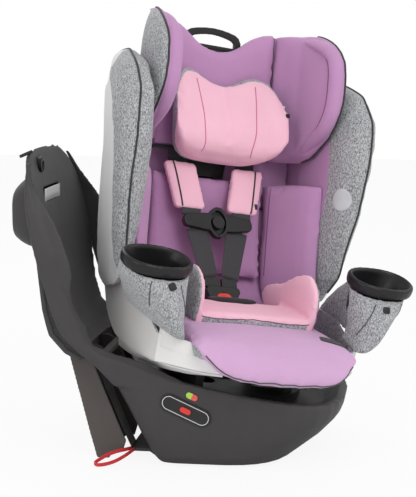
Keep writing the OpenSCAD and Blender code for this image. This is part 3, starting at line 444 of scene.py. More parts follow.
# --------
# Webbing. Woven polyester straps with a rounded selvedge along both edges: the base's anchor straps behind
# the leg and the red pull ribbon. A strap is a band carried along its line.
# --------
def woven(name, colour, rib=2.4):
    """Woven webbing: cross ribs every rib millimetres and fine lengthwise yarns, read from the strap's own
    UV map, in which U runs across it and V along it, both in millimetres."""
    finish = Finish(name, 0.7, **{"Sheen Weight": 0.15})
    uv = finish.add("UVMap")
    u = finish.add("SeparateXYZ", None, {"Vector": uv}, output=0)
    v = finish.add("SeparateXYZ", None, {"Vector": uv}, output=1)
    ribs = (v * (2 * math.pi / rib) + (u * (2 * math.pi / 1.3)).sine() * 1.2).sine() * 0.5 + 0.5
    fuzz = finish.noise(1.1, 2)
    height = ribs * 0.7 + fuzz * 0.3
    # The colour follows the ribs' height: painted shade in the grooves and painted light on the crowns.
    deep = tuple(0.6 * c for c in colour)
    pale = tuple(1.45 * c + 0.006 for c in colour)
    finish.feed(colour=finish.mix(height, deep, pale), roughness=fuzz * 0.2 + 0.6,
                normal=finish.relief(height, 0.25, 0.8))
    return finish.material


black_web = woven("black_web", (0.027, 0.027, 0.030))
red_web = woven("red_web", (0.67, 0.02, 0.028), 1.6)


def mapped(piece, across, line):
    """The piece with a UV map in millimetres. It is made of rings on a line of places in metres: across is
    U for the points of a ring, and V runs along the line."""
    run = np.concatenate([[0], np.cumsum(np.linalg.norm(np.diff(line, axis=0), axis=1))]) * 1000
    flat = np.stack(np.broadcast_arrays(across, run[:, None]), -1)
    corners = np.empty(len(piece.data.loops), np.int32)
    piece.data.loops.foreach_get("vertex_index", corners)
    layer = piece.data.uv_layers.new(name="UVMap")
    layer.data.foreach_set("uv", flat.reshape(-1, 2)[corners].astype(np.float32).ravel())
    return piece


def strap(name, centre, normal, width, thick):
    """Flat band along a line of places in metres. Its section is even, with a bead in front of each rounded
    edge: u is the place across it and h the height, as shares of half its width and half its thickness."""
    u = np.array([-1, -0.985, -0.94, -0.5, 0, 0.5, 0.94, 0.985, 1, 0.985, 0.94, 0.5, 0, -0.5, -0.94, -0.985])
    h = np.array([0, 0.7, 1.05, 0.9, 0.9, 0.9, 1.05, 0.7, 0, -0.7, -1.05, -0.9, -0.9, -0.9, -1.05, -0.7])
    along = unit(np.gradient(centre, axis=0))
    normal = unit(normal - along * np.sum(normal * along, 1, keepdims=True))
    across = np.cross(along, normal)
    half = (np.broadcast_to(np.asarray(width, float), (len(centre),)) / 2000)[:, None, None]
    rings = (centre[:, None] + across[:, None] * u[None, :, None] * half
             + normal[:, None] * h[None, :, None] * thick / 2000)
    piece = new_piece(name, rings.reshape(-1, 3), grid_faces(len(centre), len(u)))
    return mapped(piece, u * half[:, :, 0] * 1000, centre)


WEB_WIDTH = 38
anchor_line = eased([(134, 16.7), (150, 52), (168, 96), (181, 126), (193, 153)], 6)
for number, x in enumerate((-123, 123)):
    line = np.column_stack([np.full(len(anchor_line), x), anchor_line])
    slope = np.column_stack([np.zeros(len(line)), np.full(len(line), -1.0), np.full(len(line), 0.4)])
    piece = strap("anchor_strap_%d" % number, base_place.out(line), slope, WEB_WIDTH, 1.8)
    settle(piece, "base", "webbing", black_web, *(["anchor_webbing"] if number == 0 else []))

# The ribbon is a loop that runs back from LOOP_START in Y by LOOP_REACH, and sinks on its way. Its two
# strands stand apart in height
LOOP_START, LOOP_REACH = 130, 54
loop_line = eased([(-140.3, 130), (-160, 138), (-184, 152), (-204, 168), (-213, 178), (-207, 184),
                   (-194, 178), (-178, 163), (-160, 146), (-140.3, 135)], 6)
half = len(loop_line) // 2
branch = np.where(np.arange(len(loop_line)) < half, -1.0, 1.0)
down = (loop_line[:, 1] - LOOP_START) / LOOP_REACH
loop_mid = np.column_stack([loop_line, 15 - 8 * down + 6 * branch * np.sin(np.pi * np.clip(down, 0, 1))])
side_of_loop = np.cross(unit(np.gradient(loop_mid, axis=0)), (0, 0, 1.0))
pull_ribbon = strap("pull_ribbon", base_place.out(loop_mid), side_of_loop, 6, 1.8)
settle(pull_ribbon, "base", "red_webbing", red_web, "pull_loop")


# --------
# Turntable and recline. Black pressed plate on the steel king pin, dark powder-coated rails and runners,
# and the recline lever's bar under the front edge of the seat.
# --------
def plated_steel(name, colour, roughness, metallic=1.0):
    """Plated or powder-coated steel with fine drawn lines and small changes of sheen."""
    finish = Finish(name, roughness, metallic)
    streak = finish.noise(2.5, 3, 0.6)
    cloud = finish.noise(30, 2)
    deep, pale = tuple(0.85 * c for c in colour), tuple(1.1 * c for c in colour)
    finish.feed(colour=finish.mix(cloud, deep, pale), roughness=streak * 0.16 + (roughness - 0.08),
                normal=finish.relief(streak, 0.03, 0.5))
    return finish.material


bright_steel = plated_steel("bright_steel", (0.58, 0.59, 0.6), 0.32)
coated_steel = plated_steel("coated_steel", (0.045, 0.045, 0.05), 0.45, 0.3)
for node in ("pivot_hub", "lock_plunger", "plunger_spring"):
    give(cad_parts[node], bright_steel)
for node in ("recline_rails", "recline_runners", "headrest_rack"):
    give(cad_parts[node], coated_steel)
for node in ("hub_cap", "turntable", "recline_lever", "headrest_frame"):
    give(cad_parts[node], black_plastic)


# --------
# Seat shell. Pale grey blow-moulded shell with its cover behind the back and the dish that closes the gap
# under its sides. Inside, it is lined with the same cloths as the pads.
# --------
SHELL_GREY, LILAC = (0.76, 0.75, 0.74), (0.50, 0.265, 0.475)
PALE_LILAC, PINK = (0.62, 0.375, 0.60), (0.95, 0.53, 0.645)


def melange(finish):
    """Grey melange jersey: dark, mid and pale fibres in short flecks, a little longer along the rows."""
    stretched = finish.add("VectorMath", {"operation": "MULTIPLY"}, {0: finish.spot(), 1: (1, 1, 0.55)})
    flecks = finish.noise(2.1, 3, 0.85, stretched)
    stops = [(0.36, (0.085, 0.088, 0.093)), (0.64, (0.60, 0.61, 0.63))]
    colour = finish.add("ValToRGB", {"stops": stops}, {"Fac": flecks})
    return colour, flecks


MIDDLE_DEPTH, FRONT_DEPTH, RIM_OUT = 0.0, -0.118, 0.17


def lined_plastic():
    """Pale plastic outside. Inside the shell, the faces that look forwards or inwards carry the pads' lilac
    knit behind the seat's middle. In front of it the inner walls and the rim carry grey melange."""
    finish = Finish("shell_plastic", 0.42)
    point, facing = finish.spot(), finish.add("NewGeometry", output=1)
    across, rear, up, leaned_rear = (tuple(float(c) for c in axis) for axis in
                                     (*seat_place.turn.T, back_place.turn[:, 1]))

    def along(vector, axis):
        return finish.add("VectorMath", {"operation": "DOT_PRODUCT"}, {0: vector, 1: axis}, output=1)

    def reach(axis):
        """How far the point stands from the seat's origin along an axis, in metres."""
        return along(point, axis) - float(seat_place.origin @ np.array(axis) / 1000)

    offset, depth = reach(across), reach(rear)
    forwards = (along(facing, leaned_rear) * -1).step(0.3, 0.4)
    inwards = (along(facing, across) * offset * -1).step(0.05, 0.06)
    behind = depth.step(MIDDLE_DEPTH, MIDDLE_DEPTH + 0.002)
    lining = forwards.math("MAXIMUM", inwards) * behind
    rim = along(facing, up).step(0.5, 0.6) * offset.math("ABSOLUTE").step(RIM_OUT, RIM_OUT + 0.001)
    wall = inwards.math("MAXIMUM", rim) * (1 - behind) * depth.step(FRONT_DEPTH, FRONT_DEPTH + 0.002)
    grains, mottle = finish.noise(1.0, 2), finish.noise(50, 3)
    plastic = finish.mix(mottle, tuple(0.95 * c for c in SHELL_GREY), tuple(1.04 * c for c in SHELL_GREY))
    # The lilac is darker where the grains are low: painted shade between the knit's loops, as on the pads.
    knit_colour = finish.mix(grains, tuple(0.85 * c for c in LILAC), tuple(1.1 * c for c in LILAC))
    finish.feed(colour=finish.mix(wall, finish.mix(lining, plastic, knit_colour), melange(finish)[0]),
                roughness=lining * 0.45 + grains * 0.06 + 0.4,
                normal=finish.relief(grains, 0.05, 0.6))
    return finish.material


shell_plastic = moulded_plastic("dish_plastic", SHELL_GREY, 0.42, depth=0.02)
give(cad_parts["seat_shell"], lined_plastic())
give(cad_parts["shell_back_cover"], shell_plastic)
for s, _ in SIDES:
    rounded("dish_" + s, "shell_dish_" + s, 1.8, 4, "seat", "shell_plastic", shell_plastic)


# --------
# Covers and pads. Knitted covers over foam, sewn to shape: each is remade from its block, filled by a short
# cloth simulation, and painted with what part of it is cut from the second fabric.
# --------
VOXEL, SHRINK, PRESSURE, FILL = 6.0, 2.0, 4.0, 0.8
SIMULATED_FRAMES = 14
pads = []


def knit(finish, colour, size=1.5):
    """Fine knit: (colour, height) of small loops with slow drifts of tone, darker between the loops: painted
    shade.
    """
    loops, drift = finish.noise(size, 2, 0.6), finish.noise(70, 2)
    # Where the loops are low the colour is darker: painted shade in the hollows between them. The drift is
    # random tone.
    share = loops * 0.65 + drift * 0.5 - 0.08
    deep, pale = tuple(0.84 * c for c in colour), tuple(min(1, 1.12 * c) for c in colour)
    return finish.mix(share, deep, pale), loops


def fabric(name, first, second=None, roughness=0.86, depth=0.22, rear=None):
    """Cloth of one kind, or of two where the piece's mark "second" says which. With a colour for rear, its
    mark "rear" says where it is a smooth band of that colour."""
    finish = Finish(name, roughness, **{"Sheen Weight": 0.22, "Sheen Roughness": 0.45,
                                        "Specular IOR Level": 0.3})
    colour, height = first(finish)
    if second:
        share = finish.mark("second").step(0.485, 0.515)
        other_colour, other_height = second(finish)
        colour = finish.mix(share, colour, other_colour)
        height = height + (other_height - height) * share
    if rear:
        band = finish.mark("rear").step(0.485, 0.515)
        colour, height = finish.mix(band, colour, rear), height * (1 - band)
    finish.feed(colour=colour, roughness=height * 0.1 + (roughness - 0.05),
                normal=finish.relief(height, depth, 0.7))
    return finish.material


def coords_of(mesh):
    """Places of a mesh's points."""
    co = np.empty(3 * len(mesh.vertices), np.float32)
    mesh.vertices.foreach_get("co", co)
    return co.reshape(-1, 3).astype(float)


def coords(piece):
    return coords_of(piece.data)


def set_coords(piece, co):
    piece.data.vertices.foreach_set("co", co.astype(np.float32).ravel())
    piece.data.update()


def pad(name, node, body, slot, material, voxel=VOXEL, passes=3, cap=6.0, shrink=SHRINK):
    """A padded piece, begun from its CAD block and drawn in by shrink millimetres. The filling moves none of
    its points by more than cap millimetres."""
    piece = remade(name, [node], voxel, passes)
    normals = np.empty(3 * len(piece.data.vertices), np.float32)
    piece.data.vertices.foreach_get("normal", normals)
    set_coords(piece, coords(piece) - normals.reshape(-1, 3) * shrink / 1000)
    settle(piece, body, slot, material, node)
    pads.append((piece, cap))
    return piece


def pad_pair(name, node, slot, material, *sizes, body="seat", **more):
    """The left and the right one of two padded pieces."""
    return {s: pad(name + s, node + s, body, slot, material, *sizes, **more) for s, _ in SIDES}


def fill_pads():
    """Runs the cloth of all pads together, keeps each point within its cap of where it began, and applies
    it. Then one subdivision rounds the covers."""
    begun = [coords(piece) for piece, _ in pads]
    for piece, _ in pads:
        cloth = piece.modifiers.new("cloth", "CLOTH")
        settings = cloth.settings
        settings.quality, settings.mass = 3, 0.3
        settings.tension_stiffness = settings.compression_stiffness = 18
        settings.shear_stiffness, settings.bending_stiffness = 8, 0.6
        settings.use_pressure, settings.uniform_pressure_force = True, PRESSURE
        settings.effector_weights.gravity = 0
        cloth.collision_settings.use_collision = False
        cloth.point_cache.frame_start, cloth.point_cache.frame_end = 1, SIMULATED_FRAMES
    for number in range(1, SIMULATED_FRAMES + 1):
        bpy.context.scene.frame_set(number)
    graph = bpy.context.evaluated_depsgraph_get()
    for (piece, cap), start in zip(pads, begun):
        step = coords_of(piece.evaluated_get(graph).to_mesh()) - start
        size = np.linalg.norm(step, axis=1, keepdims=True)
        limit = cap / 1000
        step *= np.tanh(size / limit) * limit / np.maximum(size, 1e-9)
        piece.evaluated_get(graph).to_mesh_clear()
        piece.modifiers.clear()
        set_coords(piece, start + step)
    bpy.context.scene.frame_set(1)
    for piece, _ in pads:
        ease = piece.modifiers.new("ease", "SMOOTH")
        ease.factor, ease.iterations = 0.5, 2
        split = piece.modifiers.new("split", "SUBSURF")
        split.levels = split.render_levels = 1
        applied(piece)


def paint(piece, distance, mark="second"):
    """Marks where the second fabric is: distance is positive there, in millimetres from its seam."""
    layer = piece.data.attributes.new(mark, "FLOAT", "POINT")
    layer.data.foreach_set("value", np.clip(0.5 + np.asarray(distance) / 40, 0, 1).astype(np.float32))


lilac_over_grey = fabric("lilac_and_grey", lambda f: knit(f, LILAC), melange)
lilac_cloth = fabric("lilac_cloth", lambda f: knit(f, LILAC))
pale_lilac_grey = fabric("pale_lilac_and_grey", lambda f: knit(f, PALE_LILAC), melange)
grey_cloth = fabric("grey_cloth", melange)
bolster_cloth = fabric("bolster_cloth", melange, lambda f: knit(f, LILAC), rear=(0.70, 0.70, 0.70))
pink_over_grey = fabric("pink_and_grey", lambda f: knit(f, PINK, 1.2), melange)
pink_cloth = fabric("pink_cloth", lambda f: knit(f, PINK, 1.2))
dark_cloth = fabric("dark_cloth", lambda f: knit(f, (0.035, 0.035, 0.04)))

cushion = pad("cushion", "seat_cushion", "seat", "pale_lilac_fabric", pale_lilac_grey, passes=4, cap=8,
              shrink=0.5)
pad("back_cover", "back_pad", "seat", "lilac_fabric", lilac_cloth, cap=4)
pad("liner", "back_liner", "seat", "liner", lilac_cloth, 3, 1, cap=1, shrink=0)
inner = pad_pair("inner_bolster_pad_", "inner_bolster_", "lilac_fabric", lilac_cloth, cap=4)
bolster = pad_pair("side_bolster_pad_", "side_bolster_", "grey_fabric", bolster_cloth, passes=5, cap=8,
                   shrink=0)
pod = pad_pair("pod_cover_", "cup_pod_", "grey_fabric", grey_cloth, 4.5, 2, cap=3, shrink=1)
insert = pad("insert", "body_insert", "seat", "pink_fabric", pink_over_grey, 4.5, 3, cap=4, shrink=1)
crest = pad("crest_pad", "headrest_pad", "headrest", "lilac_fabric", lilac_cloth, cap=5, shrink=-0.6)
wing = pad_pair("wing_pad_", "headrest_wing_", "lilac_fabric", lilac_over_grey, 5, cap=5, shrink=-0.6,
                body="headrest")
pillow = pad("pillow", "head_pillow", "headrest", "pink_fabric", pink_over_grey, 5, 8, cap=8)
shoulder = pad_pair("shoulder_cover_", "shoulder_pad_", "pink_fabric", pink_cloth, 3.5, 2, cap=3, shrink=0.8,
                    body="headrest")
crotch_cover = pad("crotch_cover", "crotch_strap", "seat", "webbing", dark_cloth, 3, 2, cap=2, shrink=0.5)
pad("pan_lining", "pan_foam", "seat", "foam", lilac_cloth, 7, 1, cap=1, shrink=0)
pad("back_lining", "back_foam", "seat", "foam", lilac_cloth, 7, 1, cap=1, shrink=0)
fill_pads()

# The side bolsters swell outwards, most at the shoulders, on the front half of their outer sides
for s, sign in SIDES:
    c = back_place.into(coords(bolster[s])) * (sign, 1, 1)
    swell = np.interp(c[:, 2], (120, 250, 330, 400, 457), (0, 6, 10, 9, 3))
    c[:, 0] += swell * np.interp(c[:, 0], (200, 215), (0, 1)) * np.interp(c[:, 1], (-130, -50), (1, 0))
    set_coords(bolster[s], back_place.out(c * (sign, 1, 1)))

# The front of the crotch strap's cover lies flat against it
c = seat_place.into(coords(crotch_cover))
c[:, 1] = np.where(c[:, 1] < 0, c[:, 1] * 0.3, c[:, 1])
set_coords(crotch_cover, seat_place.out(c))


def hem_rise(x):
    """Height of the cushion's hem over its lowest place, which is in the middle."""
    return 47 * np.clip(np.abs(x) / 150, 0, 1) ** 6


# What of each cover is cut from the second fabric, as a distance from its seam in the piece's own frame
c = seat_place.into(coords(cushion))
paint(cushion, 17 + hem_rise(c[:, 0]) - c[:, 2])
for s, sign in SIDES:
    c = back_place.into(coords(wing[s])) * (sign, 1, 1)
    paint(wing[s], c[:, 0] - 172.5)
c = back_place.into(coords(pillow))
pillow_back = np.interp(np.abs(c[:, 0]), (0, 40, 74, 100, 108, 113), (16, 16, 20, 50, 70, 90))
pillow_deep = np.interp(np.abs(c[:, 0]), (0, 40, 72, 100, 108, 113), (62, 66, 70, 54, 34, 16))
paint(pillow, (pillow_back + 0.3 * pillow_deep + c[:, 1]) * 0.6)
c = seat_place.into(coords(insert))
in_wing = np.abs(c[:, 0]) > 101
paint(insert, np.where(in_wing, np.abs(c[:, 0]) - 111, np.where(c[:, 1] < -98, 85.5 - c[:, 2], -10)))


# --------
# Piping and seams. Black corded piping is sewn along the rims of the bolsters, the wings and the shoulder
# pads; the other seams are lines of thread. Each is a tube laid on the finished cover along a line.
# --------
piping_cord = woven("piping_cord", (0.022, 0.022, 0.024), 1.2)
seam_thread = woven("seam_thread", (0.19, 0.085, 0.175), 1.0)
grey_thread = woven("grey_thread", (0.07, 0.07, 0.075), 1.0)
pink_thread = woven("pink_thread", (0.66, 0.20, 0.33), 1.0)


def laid(name, place, points, host, body, slot, material, radius=1.9, rise=0.35):
    """A tube along an eased line of this frame, moved onto the nearest faces of what carries it and raised
    by a share of its radius."""
    tree, sides = surface_of(host), 8
    line = place.out(eased(points))
    for _ in range(2):
        hits = [tree.find_nearest(Vector(p)) for p in line]
        ground = np.array([hit[0][:] for hit in hits])
        normal = np.array([hit[1][:] for hit in hits])
        inner_line = (ground[:-2] + 2 * ground[1:-1] + ground[2:]) / 4
        line = np.vstack([ground[:1], inner_line, ground[-1:]])
        normal = unit(np.vstack([normal[:1], normal[:-2] + normal[1:-1] + normal[2:], normal[-1:]]))
    piece = tube(name, line + normal * radius * rise / 1000, normal, radius, sides=sides)
    return settle(mapped(piece, np.arange(sides) * radius * 0.78, line), body, slot, material)


def border_on(host, points):
    """Heights and depths, in the back's frame, of a border that the camera sees on a cover."""
    tree = surface_of(host)
    hits = [tree.ray_cast(*sight_line(point))[0] for point in points]
    spots = back_place.into(np.array([hit[:] for hit in hits if hit]))
    spots = spots[np.argsort(spots[:, 2])]
    return spots[:, 2], spots[:, 1]


# Pixels where the near bolster's lilac inner side meets its grey front, and where the other one's grey outer
# side meets its pale rear band
LILAC_EDGE = ((329.2, 148.3), (329.5, 160), (326.8, 191.4), (319.6, 223.3), (314.9, 250), (308.2, 267.9))
SHELL_EDGE = ((118.8, 56), (113.2, 65), (110, 72), (110.5, 82), (112.4, 102), (113.7, 127.6), (113.6, 159.5),
              (112.6, 199.4), (111.6, 236))
lilac_level, lilac_depth = border_on(bolster["left"], LILAC_EDGE)
shell_level, shell_depth = border_on(bolster["right"], SHELL_EDGE)
for s, sign in SIDES:
    c = back_place.into(coords(bolster[s])) * (sign, 1, 1)
    behind_lilac = c[:, 1] - np.interp(c[:, 2], lilac_level, lilac_depth)
    behind_grey = c[:, 1] - np.interp(c[:, 2], shell_level, shell_depth)
    paint(bolster[s], np.minimum(behind_lilac, 200 - c[:, 0]))
    paint(bolster[s], np.minimum(behind_grey, c[:, 0] - 204), "rear")

# In the back's frame: (height, place forwards) along the bolsters' rim, (height, place outwards of 222)
# along it, and (height, place forwards, place inwards of the outer side) along the wings' rim
RIM = [(44, 100), (60, 118), (92, 147), (150, 163), (206, 178), (281, 194), (330, 195), (374, 194),
       (400, 179), (425, 158), (446, 118), (457, 88), (460, 50), (459, 12)]
OUT = [(44, -20), (92, -10), (206, 2), (330, 6), (425, 4), (446, -3), (457, -12), (470, -16)]
WING_RIM = [(305, 45, 8), (312, 80, 4), (322, 97, 2), (345, 134, 0), (366, 153, 0), (386, 167, 0),
            (408, 174, 0), (430, 176, 0), (455, 175, 0), (478, 169, 0), (495, 156, 0), (510, 140, 1),
            (522, 122, 3), (531, 104, 7), (538, 80, 12), (541, 56, 16), (543, 28, 20)]
out_of_back = back_place.turn @ np.array((0, -1.0, 0))
for s, sign in SIDES:
    line = [(sign * (222 + np.interp(h, *zip(*OUT))), -f - 2 * (f > 90), h) for h, f in RIM[1:]]
    laid("bolster_piping_" + s, back_place, line, bolster[s], "seat", "webbing", piping_cord)
    line = [(sign * (176 - e), -f - 4, h + 0.5) for h, f, e in WING_RIM[:-2]]
    laid("wing_piping_" + s, back_place, line, wing[s], "headrest", "webbing", piping_cord)
    roll_line = eased([(sign * (159 - e), -f + 9, h + np.interp(h, (330, 366, 480, 530), (9, 0, 0, -13)))
                       for h, f, e in WING_RIM[1:-2]], 5)
    steps = np.arange(len(roll_line))
    to_end = np.clip(1 - np.minimum(steps, steps[::-1]) / 14, 0, 0.97)
    thick = np.sqrt(1 - to_end ** 2)[:, None, None]
    roll = tube("wing_roll_" + s, back_place.out(roll_line), out_of_back, 13.5 * thick, 11 * thick, sides=24)
    settle(roll, "headrest", "lilac_fabric", lilac_cloth)
    line = [(sign * 146, -f + 24, h) for h, f, _ in WING_RIM[3:-3]]
    laid("wing_seam_" + s, back_place, line, wing[s], "headrest", "lilac_fabric", seam_thread, 0.7, 0.1)
    line = [(sign * 118, -14, h) for h in (330, 380, 430, 480, 520, 538)]
    laid("crest_seam_" + s, back_place, line, crest, "headrest", "webbing", piping_cord, 1.0, 0.2)
    joint_line = np.array([(sign * 121, 3 - 12 * (h < 400), h) for h in np.linspace(318, 537, 12)], float)
    joint = tube("crest_joint_" + s, back_place.out(joint_line), out_of_back, 9, 7)
    settle(joint, "headrest", "lilac_fabric", lilac_cloth)
    line = [(sign * (52 - 5 * (h < 320)), -80, h) for h in (286, 310, 340, 370, 400, 430, 452)]
    laid("pillow_seam_" + s, back_place, line, pillow, "headrest", "pink_fabric", pink_thread, 1.0, 0.15)
    line = [(sign * x, y, z) for x, y, z in ((68.5, -1, -105), (76, -2, -62), (83.5, -1, -20))]
    laid("pad_piping_" + s, harness_place, line, shoulder[s], "headrest", "webbing", piping_cord, 1.5)
    line = [(sign * 119, -24, h) for h in (92, 150, 200, 258)]
    laid("inner_seam_" + s, back_place, line, inner[s], "seat", "lilac_fabric", seam_thread, 0.9, 0.1)
    for k, (x, top, bottom) in enumerate(((242.78, 162, 96), (175.12, 154, 90))):
        line = [(sign * x, -190 + 0.35 * (168 - z), z) for z in np.linspace(top, bottom, 6)]
        laid("pod_seam_%s_%d" % (s, k), seat_place, line, pod[s], "seat", "webbing", grey_thread, 1.0, 0.1)
HEM_RADIUS = 262
line = [(x, -math.sqrt(HEM_RADIUS ** 2 - x * x) - 3, 18 + hem_rise(x)) for x in np.linspace(-142, 142, 15)]
laid("hem_piping", seat_place, line, cushion, "seat", "webbing", grey_thread, 1.2, 0.2)
line = [(x, -110, 87 + 1.5 * math.cos(x / 20)) for x in np.linspace(-102, 102, 13)]
laid("insert_lip_seam", seat_place, line, insert, "seat", "webbing", grey_thread, 0.8, 0.1)


# --------
# Cup holders. Each is one satin black moulding, a deep oval cup with a rolled ring, dropped into its
# padded pod. A square rubber tab on each pod holds the cup's clip.
# --------
cup_plastic = moulded_plastic("cup_plastic", (0.012, 0.011, 0.012), 0.32, 1.4, 0.03)
for s, _ in SIDES:
    rounded("cup_moulding_" + s, "cup_" + s, 2.0, 4, "cup_" + s, "cup_plastic", cup_plastic)


def powered(t, share):
    """A sine or cosine raised to a power with its sign kept, which squares a round shape off."""
    return np.sign(t) * np.abs(t) ** share


def patch(name, point, host, wide, high, squareness, thick, body, slot, material, turn_by=0.0):
    """A thin plate lying on a surface where the camera sees a pixel: rings of a rounded square of half
    width wide and half height high, moved onto the nearest faces, with its top thick above them."""
    place, normal = in_view(point, host)
    tree = surface_of(host)
    n = np.array(normal)
    up = unit(np.array((0, 0, 1.0)) - n * n[2])
    side = np.cross(up, n)
    turned = math.radians(turn_by)
    up, side = (up * math.cos(turned) + side * math.sin(turned),
                side * math.cos(turned) - up * math.sin(turned))
    count = 40
    a = np.linspace(0, 2 * math.pi, count, endpoint=False)
    edge_x = powered(np.cos(a), 2 / squareness) * wide
    edge_y = powered(np.sin(a), 2 / squareness) * high
    shares, lifts = (0.02, 0.4, 0.75, 0.93, 1.0, 1.0), (1, 1, 1, 0.96, 0.6, -0.8)
    rings = []
    for share, lift in zip(shares, lifts):
        spots = np.array(place) + (edge_x[:, None] * side + edge_y[:, None] * up) * share / 1000
        hits = [tree.find_nearest(Vector(p)) for p in spots]
        ground, outwards = (np.array([hit[k][:] for hit in hits]) for k in (0, 1))
        rings.append(ground + unit(outwards) * lift * thick / 1000)
    faces = [face[::-1] for face in grid_faces(len(shares), count, capped=False)]
    outer = (len(shares) - 1) * count
    faces += [list(range(count)), list(range(outer, outer + count))[::-1]]
    return settle(new_piece(name, np.vstack(rings), faces), body, slot, material)


patch("pod_tab_right", POINTS["left_pod_tab"], pod["right"], 6.5, 6, 5, 2.6, "seat", "black_plastic",
      black_plastic, -14)
patch("pod_tab_left", POINTS["right_pod_tab"], pod["left"], 6, 5.5, 5, 2.6, "seat", "black_plastic",
      black_plastic, 10)
badge_print = moulded_plastic("badge_print", (0.56, 0.57, 0.59), 0.55, depth=0.01)
patch("plain_badge", POINTS["round_badge"], bolster["left"], 20, 20, 2, 0.7, "seat", "grey_fabric",
      badge_print)
patch("pillow_tab", POINTS["pillow_tab"], pillow, 5, 4, 4, 2.2, "headrest", "black_plastic", black_plastic)
patch("front_label", POINTS["front_label"], cushion, 25, 13, 8, 1.2, "seat", "webbing", dark_cloth, 72)
patch("pad_tab", POINTS["pad_tab"], shoulder["left"], 3.4, 5, 5, 1.2, "headrest", "webbing", dark_cloth)


# --------
# Front corners and window. The shell's pale wall runs on round both front corners up to the cushion's hem,
# and a pale card closes the slot in the base's back panel.
# --------
def upright(name, path, low, high, thick, place):
    """A wall along a plan line: at each place it goes from low to high and is thick across, with a crown."""
    path, low, high = np.asarray(path, float), np.asarray(low, float), np.asarray(high, float)
    along = unit(np.gradient(path, axis=0))
    out = np.column_stack([along[:, 1], -along[:, 0]])
    profile = np.array([(0, 0), (1, 0), (1, 0.5), (1, 0.96), (0.7, 1), (0.3, 1), (0, 0.96), (0, 0.5)])
    flat = path[:, None] + out[:, None] * profile[None, :, :1] * thick
    level = low[:, None] + (high - low)[:, None] * profile[None, :, 1]
    rings = np.concatenate([flat, level[..., None]], -1)
    return new_piece(name, place.out(rings.reshape(-1, 3)), grid_faces(len(path), 8))


# The corner walls follow the hem, and rise to the shell's own wall over their last degrees
CORNER_RADIUS, CORNER_FOOT, CORNER_WALL = 229, 24.0, 2.5
for s, sign in SIDES:
    degrees = np.linspace(28, 54, 14)
    angles = np.radians(degrees)
    path = np.column_stack([np.sin(angles) * CORNER_RADIUS, -np.cos(angles) * CORNER_RADIUS]) * (sign, 1)
    top = np.minimum(61, 18 + hem_rise(path[:, 0])) + 26 * np.clip((degrees - 46) / 8, 0, 1)
    corner = upright("corner_wall_" + s, path, np.full(14, CORNER_FOOT), np.maximum(top, 30),
                     CORNER_WALL * sign, seat_place)
    if sign < 0:
        corner.data.flip_normals()
    settle(corner, "seat", "shell_plastic", shell_plastic)
card_path = [(x, 303.5 - 16 * (x / 181) ** 2) for x in np.linspace(-52, 52, 9)]
card = upright("window_card", card_path, np.full(9, 420.0), np.full(9, 442.0), 1.2, base_place)
settle(card, "base", "bezel", print_paint)


# --------
# Harness. Black webbing comes out over the shoulders, under the pink pads and their black grips, through
# the chest clip and down to the tongues in the buckle on its crotch strap.
# --------
TONGUE_Z, CLIP_LOW, CLIP_HIGH, PAD_LOW = -237.3, -140.0, -118.0, -107.0


def strap_pair(name, node, body, x, y, heights, width, thick):
    """The left and the right one of two harness straps, which stand for one node."""
    for s, sign in SIDES:
        line = np.column_stack([np.broadcast_to(sign * x, heights.shape), np.full(len(heights), y), heights])
        face = np.tile(-harness_place.turn[:, 1], (len(heights), 1))
        piece = strap(name + s, harness_place.out(line), face, width, thick)
        settle(piece, body, "webbing", black_web, *([node] if s == "left" else []))


heights = np.linspace(TONGUE_Z + 6, CLIP_LOW - 0.3, 12)
share = (heights - heights[0]) / (heights[-1] - heights[0])
strap_pair("lower_strap_", "lower_straps", "seat", 20 + 20 * share, 5.8, heights, 34 + 9 * share, 1.6)
heights = np.linspace(CLIP_HIGH + 0.5, PAD_LOW + 2, 6)
strap_pair("upper_strap_", "upper_straps", "headrest", 50.0, 5.0, heights, WEB_WIDTH, 3)
rounded("yoke", "harness_yoke", 1.8, 3, "headrest", "webbing", dark_cloth)
rounded("buckle_body", "buckle", 1.1, 4, "seat", "black_plastic", black_plastic)
rounded("tongues", "buckle_tongues", 1.1, 3, "seat", "black_plastic", black_plastic)
clip_left = rounded("clip_half_left", "chest_clip_left", 1.0, 4, "chest_clip", "black_plastic", cup_plastic)
clip_right = rounded("clip_half_right", "chest_clip_right", 1.0, 4, "chest_clip", "black_plastic",
                     cup_plastic)
clip_press = rounded("clip_press", "clip_button", 0.9, 4, "clip_button", "black_plastic", cup_plastic)
for piece, wider, taller in ((clip_left, 1, 1.45), (clip_right, 1, 1.45), (clip_press, 0.8, 0.8)):
    c = harness_place.into(coords(piece))
    centre = (c.min(0) + c.max(0)) / 2
    set_coords(piece, harness_place.out(centre + (c - centre) * (wider, 1, taller)))

# The buckle's press is a cushion-shaped button: rings of a squared circle, from its front to its back
rows, columns = 15, 36
v, u = np.meshgrid(np.linspace(-math.pi / 2, math.pi / 2, rows),
                   np.linspace(0, 2 * math.pi, columns, endpoint=False), indexing="ij")
press = np.stack([14 * powered(np.cos(v), 0.7) * powered(np.cos(u), 0.8),
                  -8.5 - 3.2 * powered(np.sin(v), 0.8),
                  -270 + 7.4 * powered(np.cos(v), 0.7) * powered(np.sin(u), 0.8)], -1)
red_press = new_piece("red_press", harness_place.out(press.reshape(-1, 3)), grid_faces(rows, columns))
settle(red_press, "buckle_button", "red_plastic", red_plastic, "buckle_button")
rounded("handle", "headrest_handle", 1.3, 5, "headrest_handle", "black_plastic", cup_plastic)


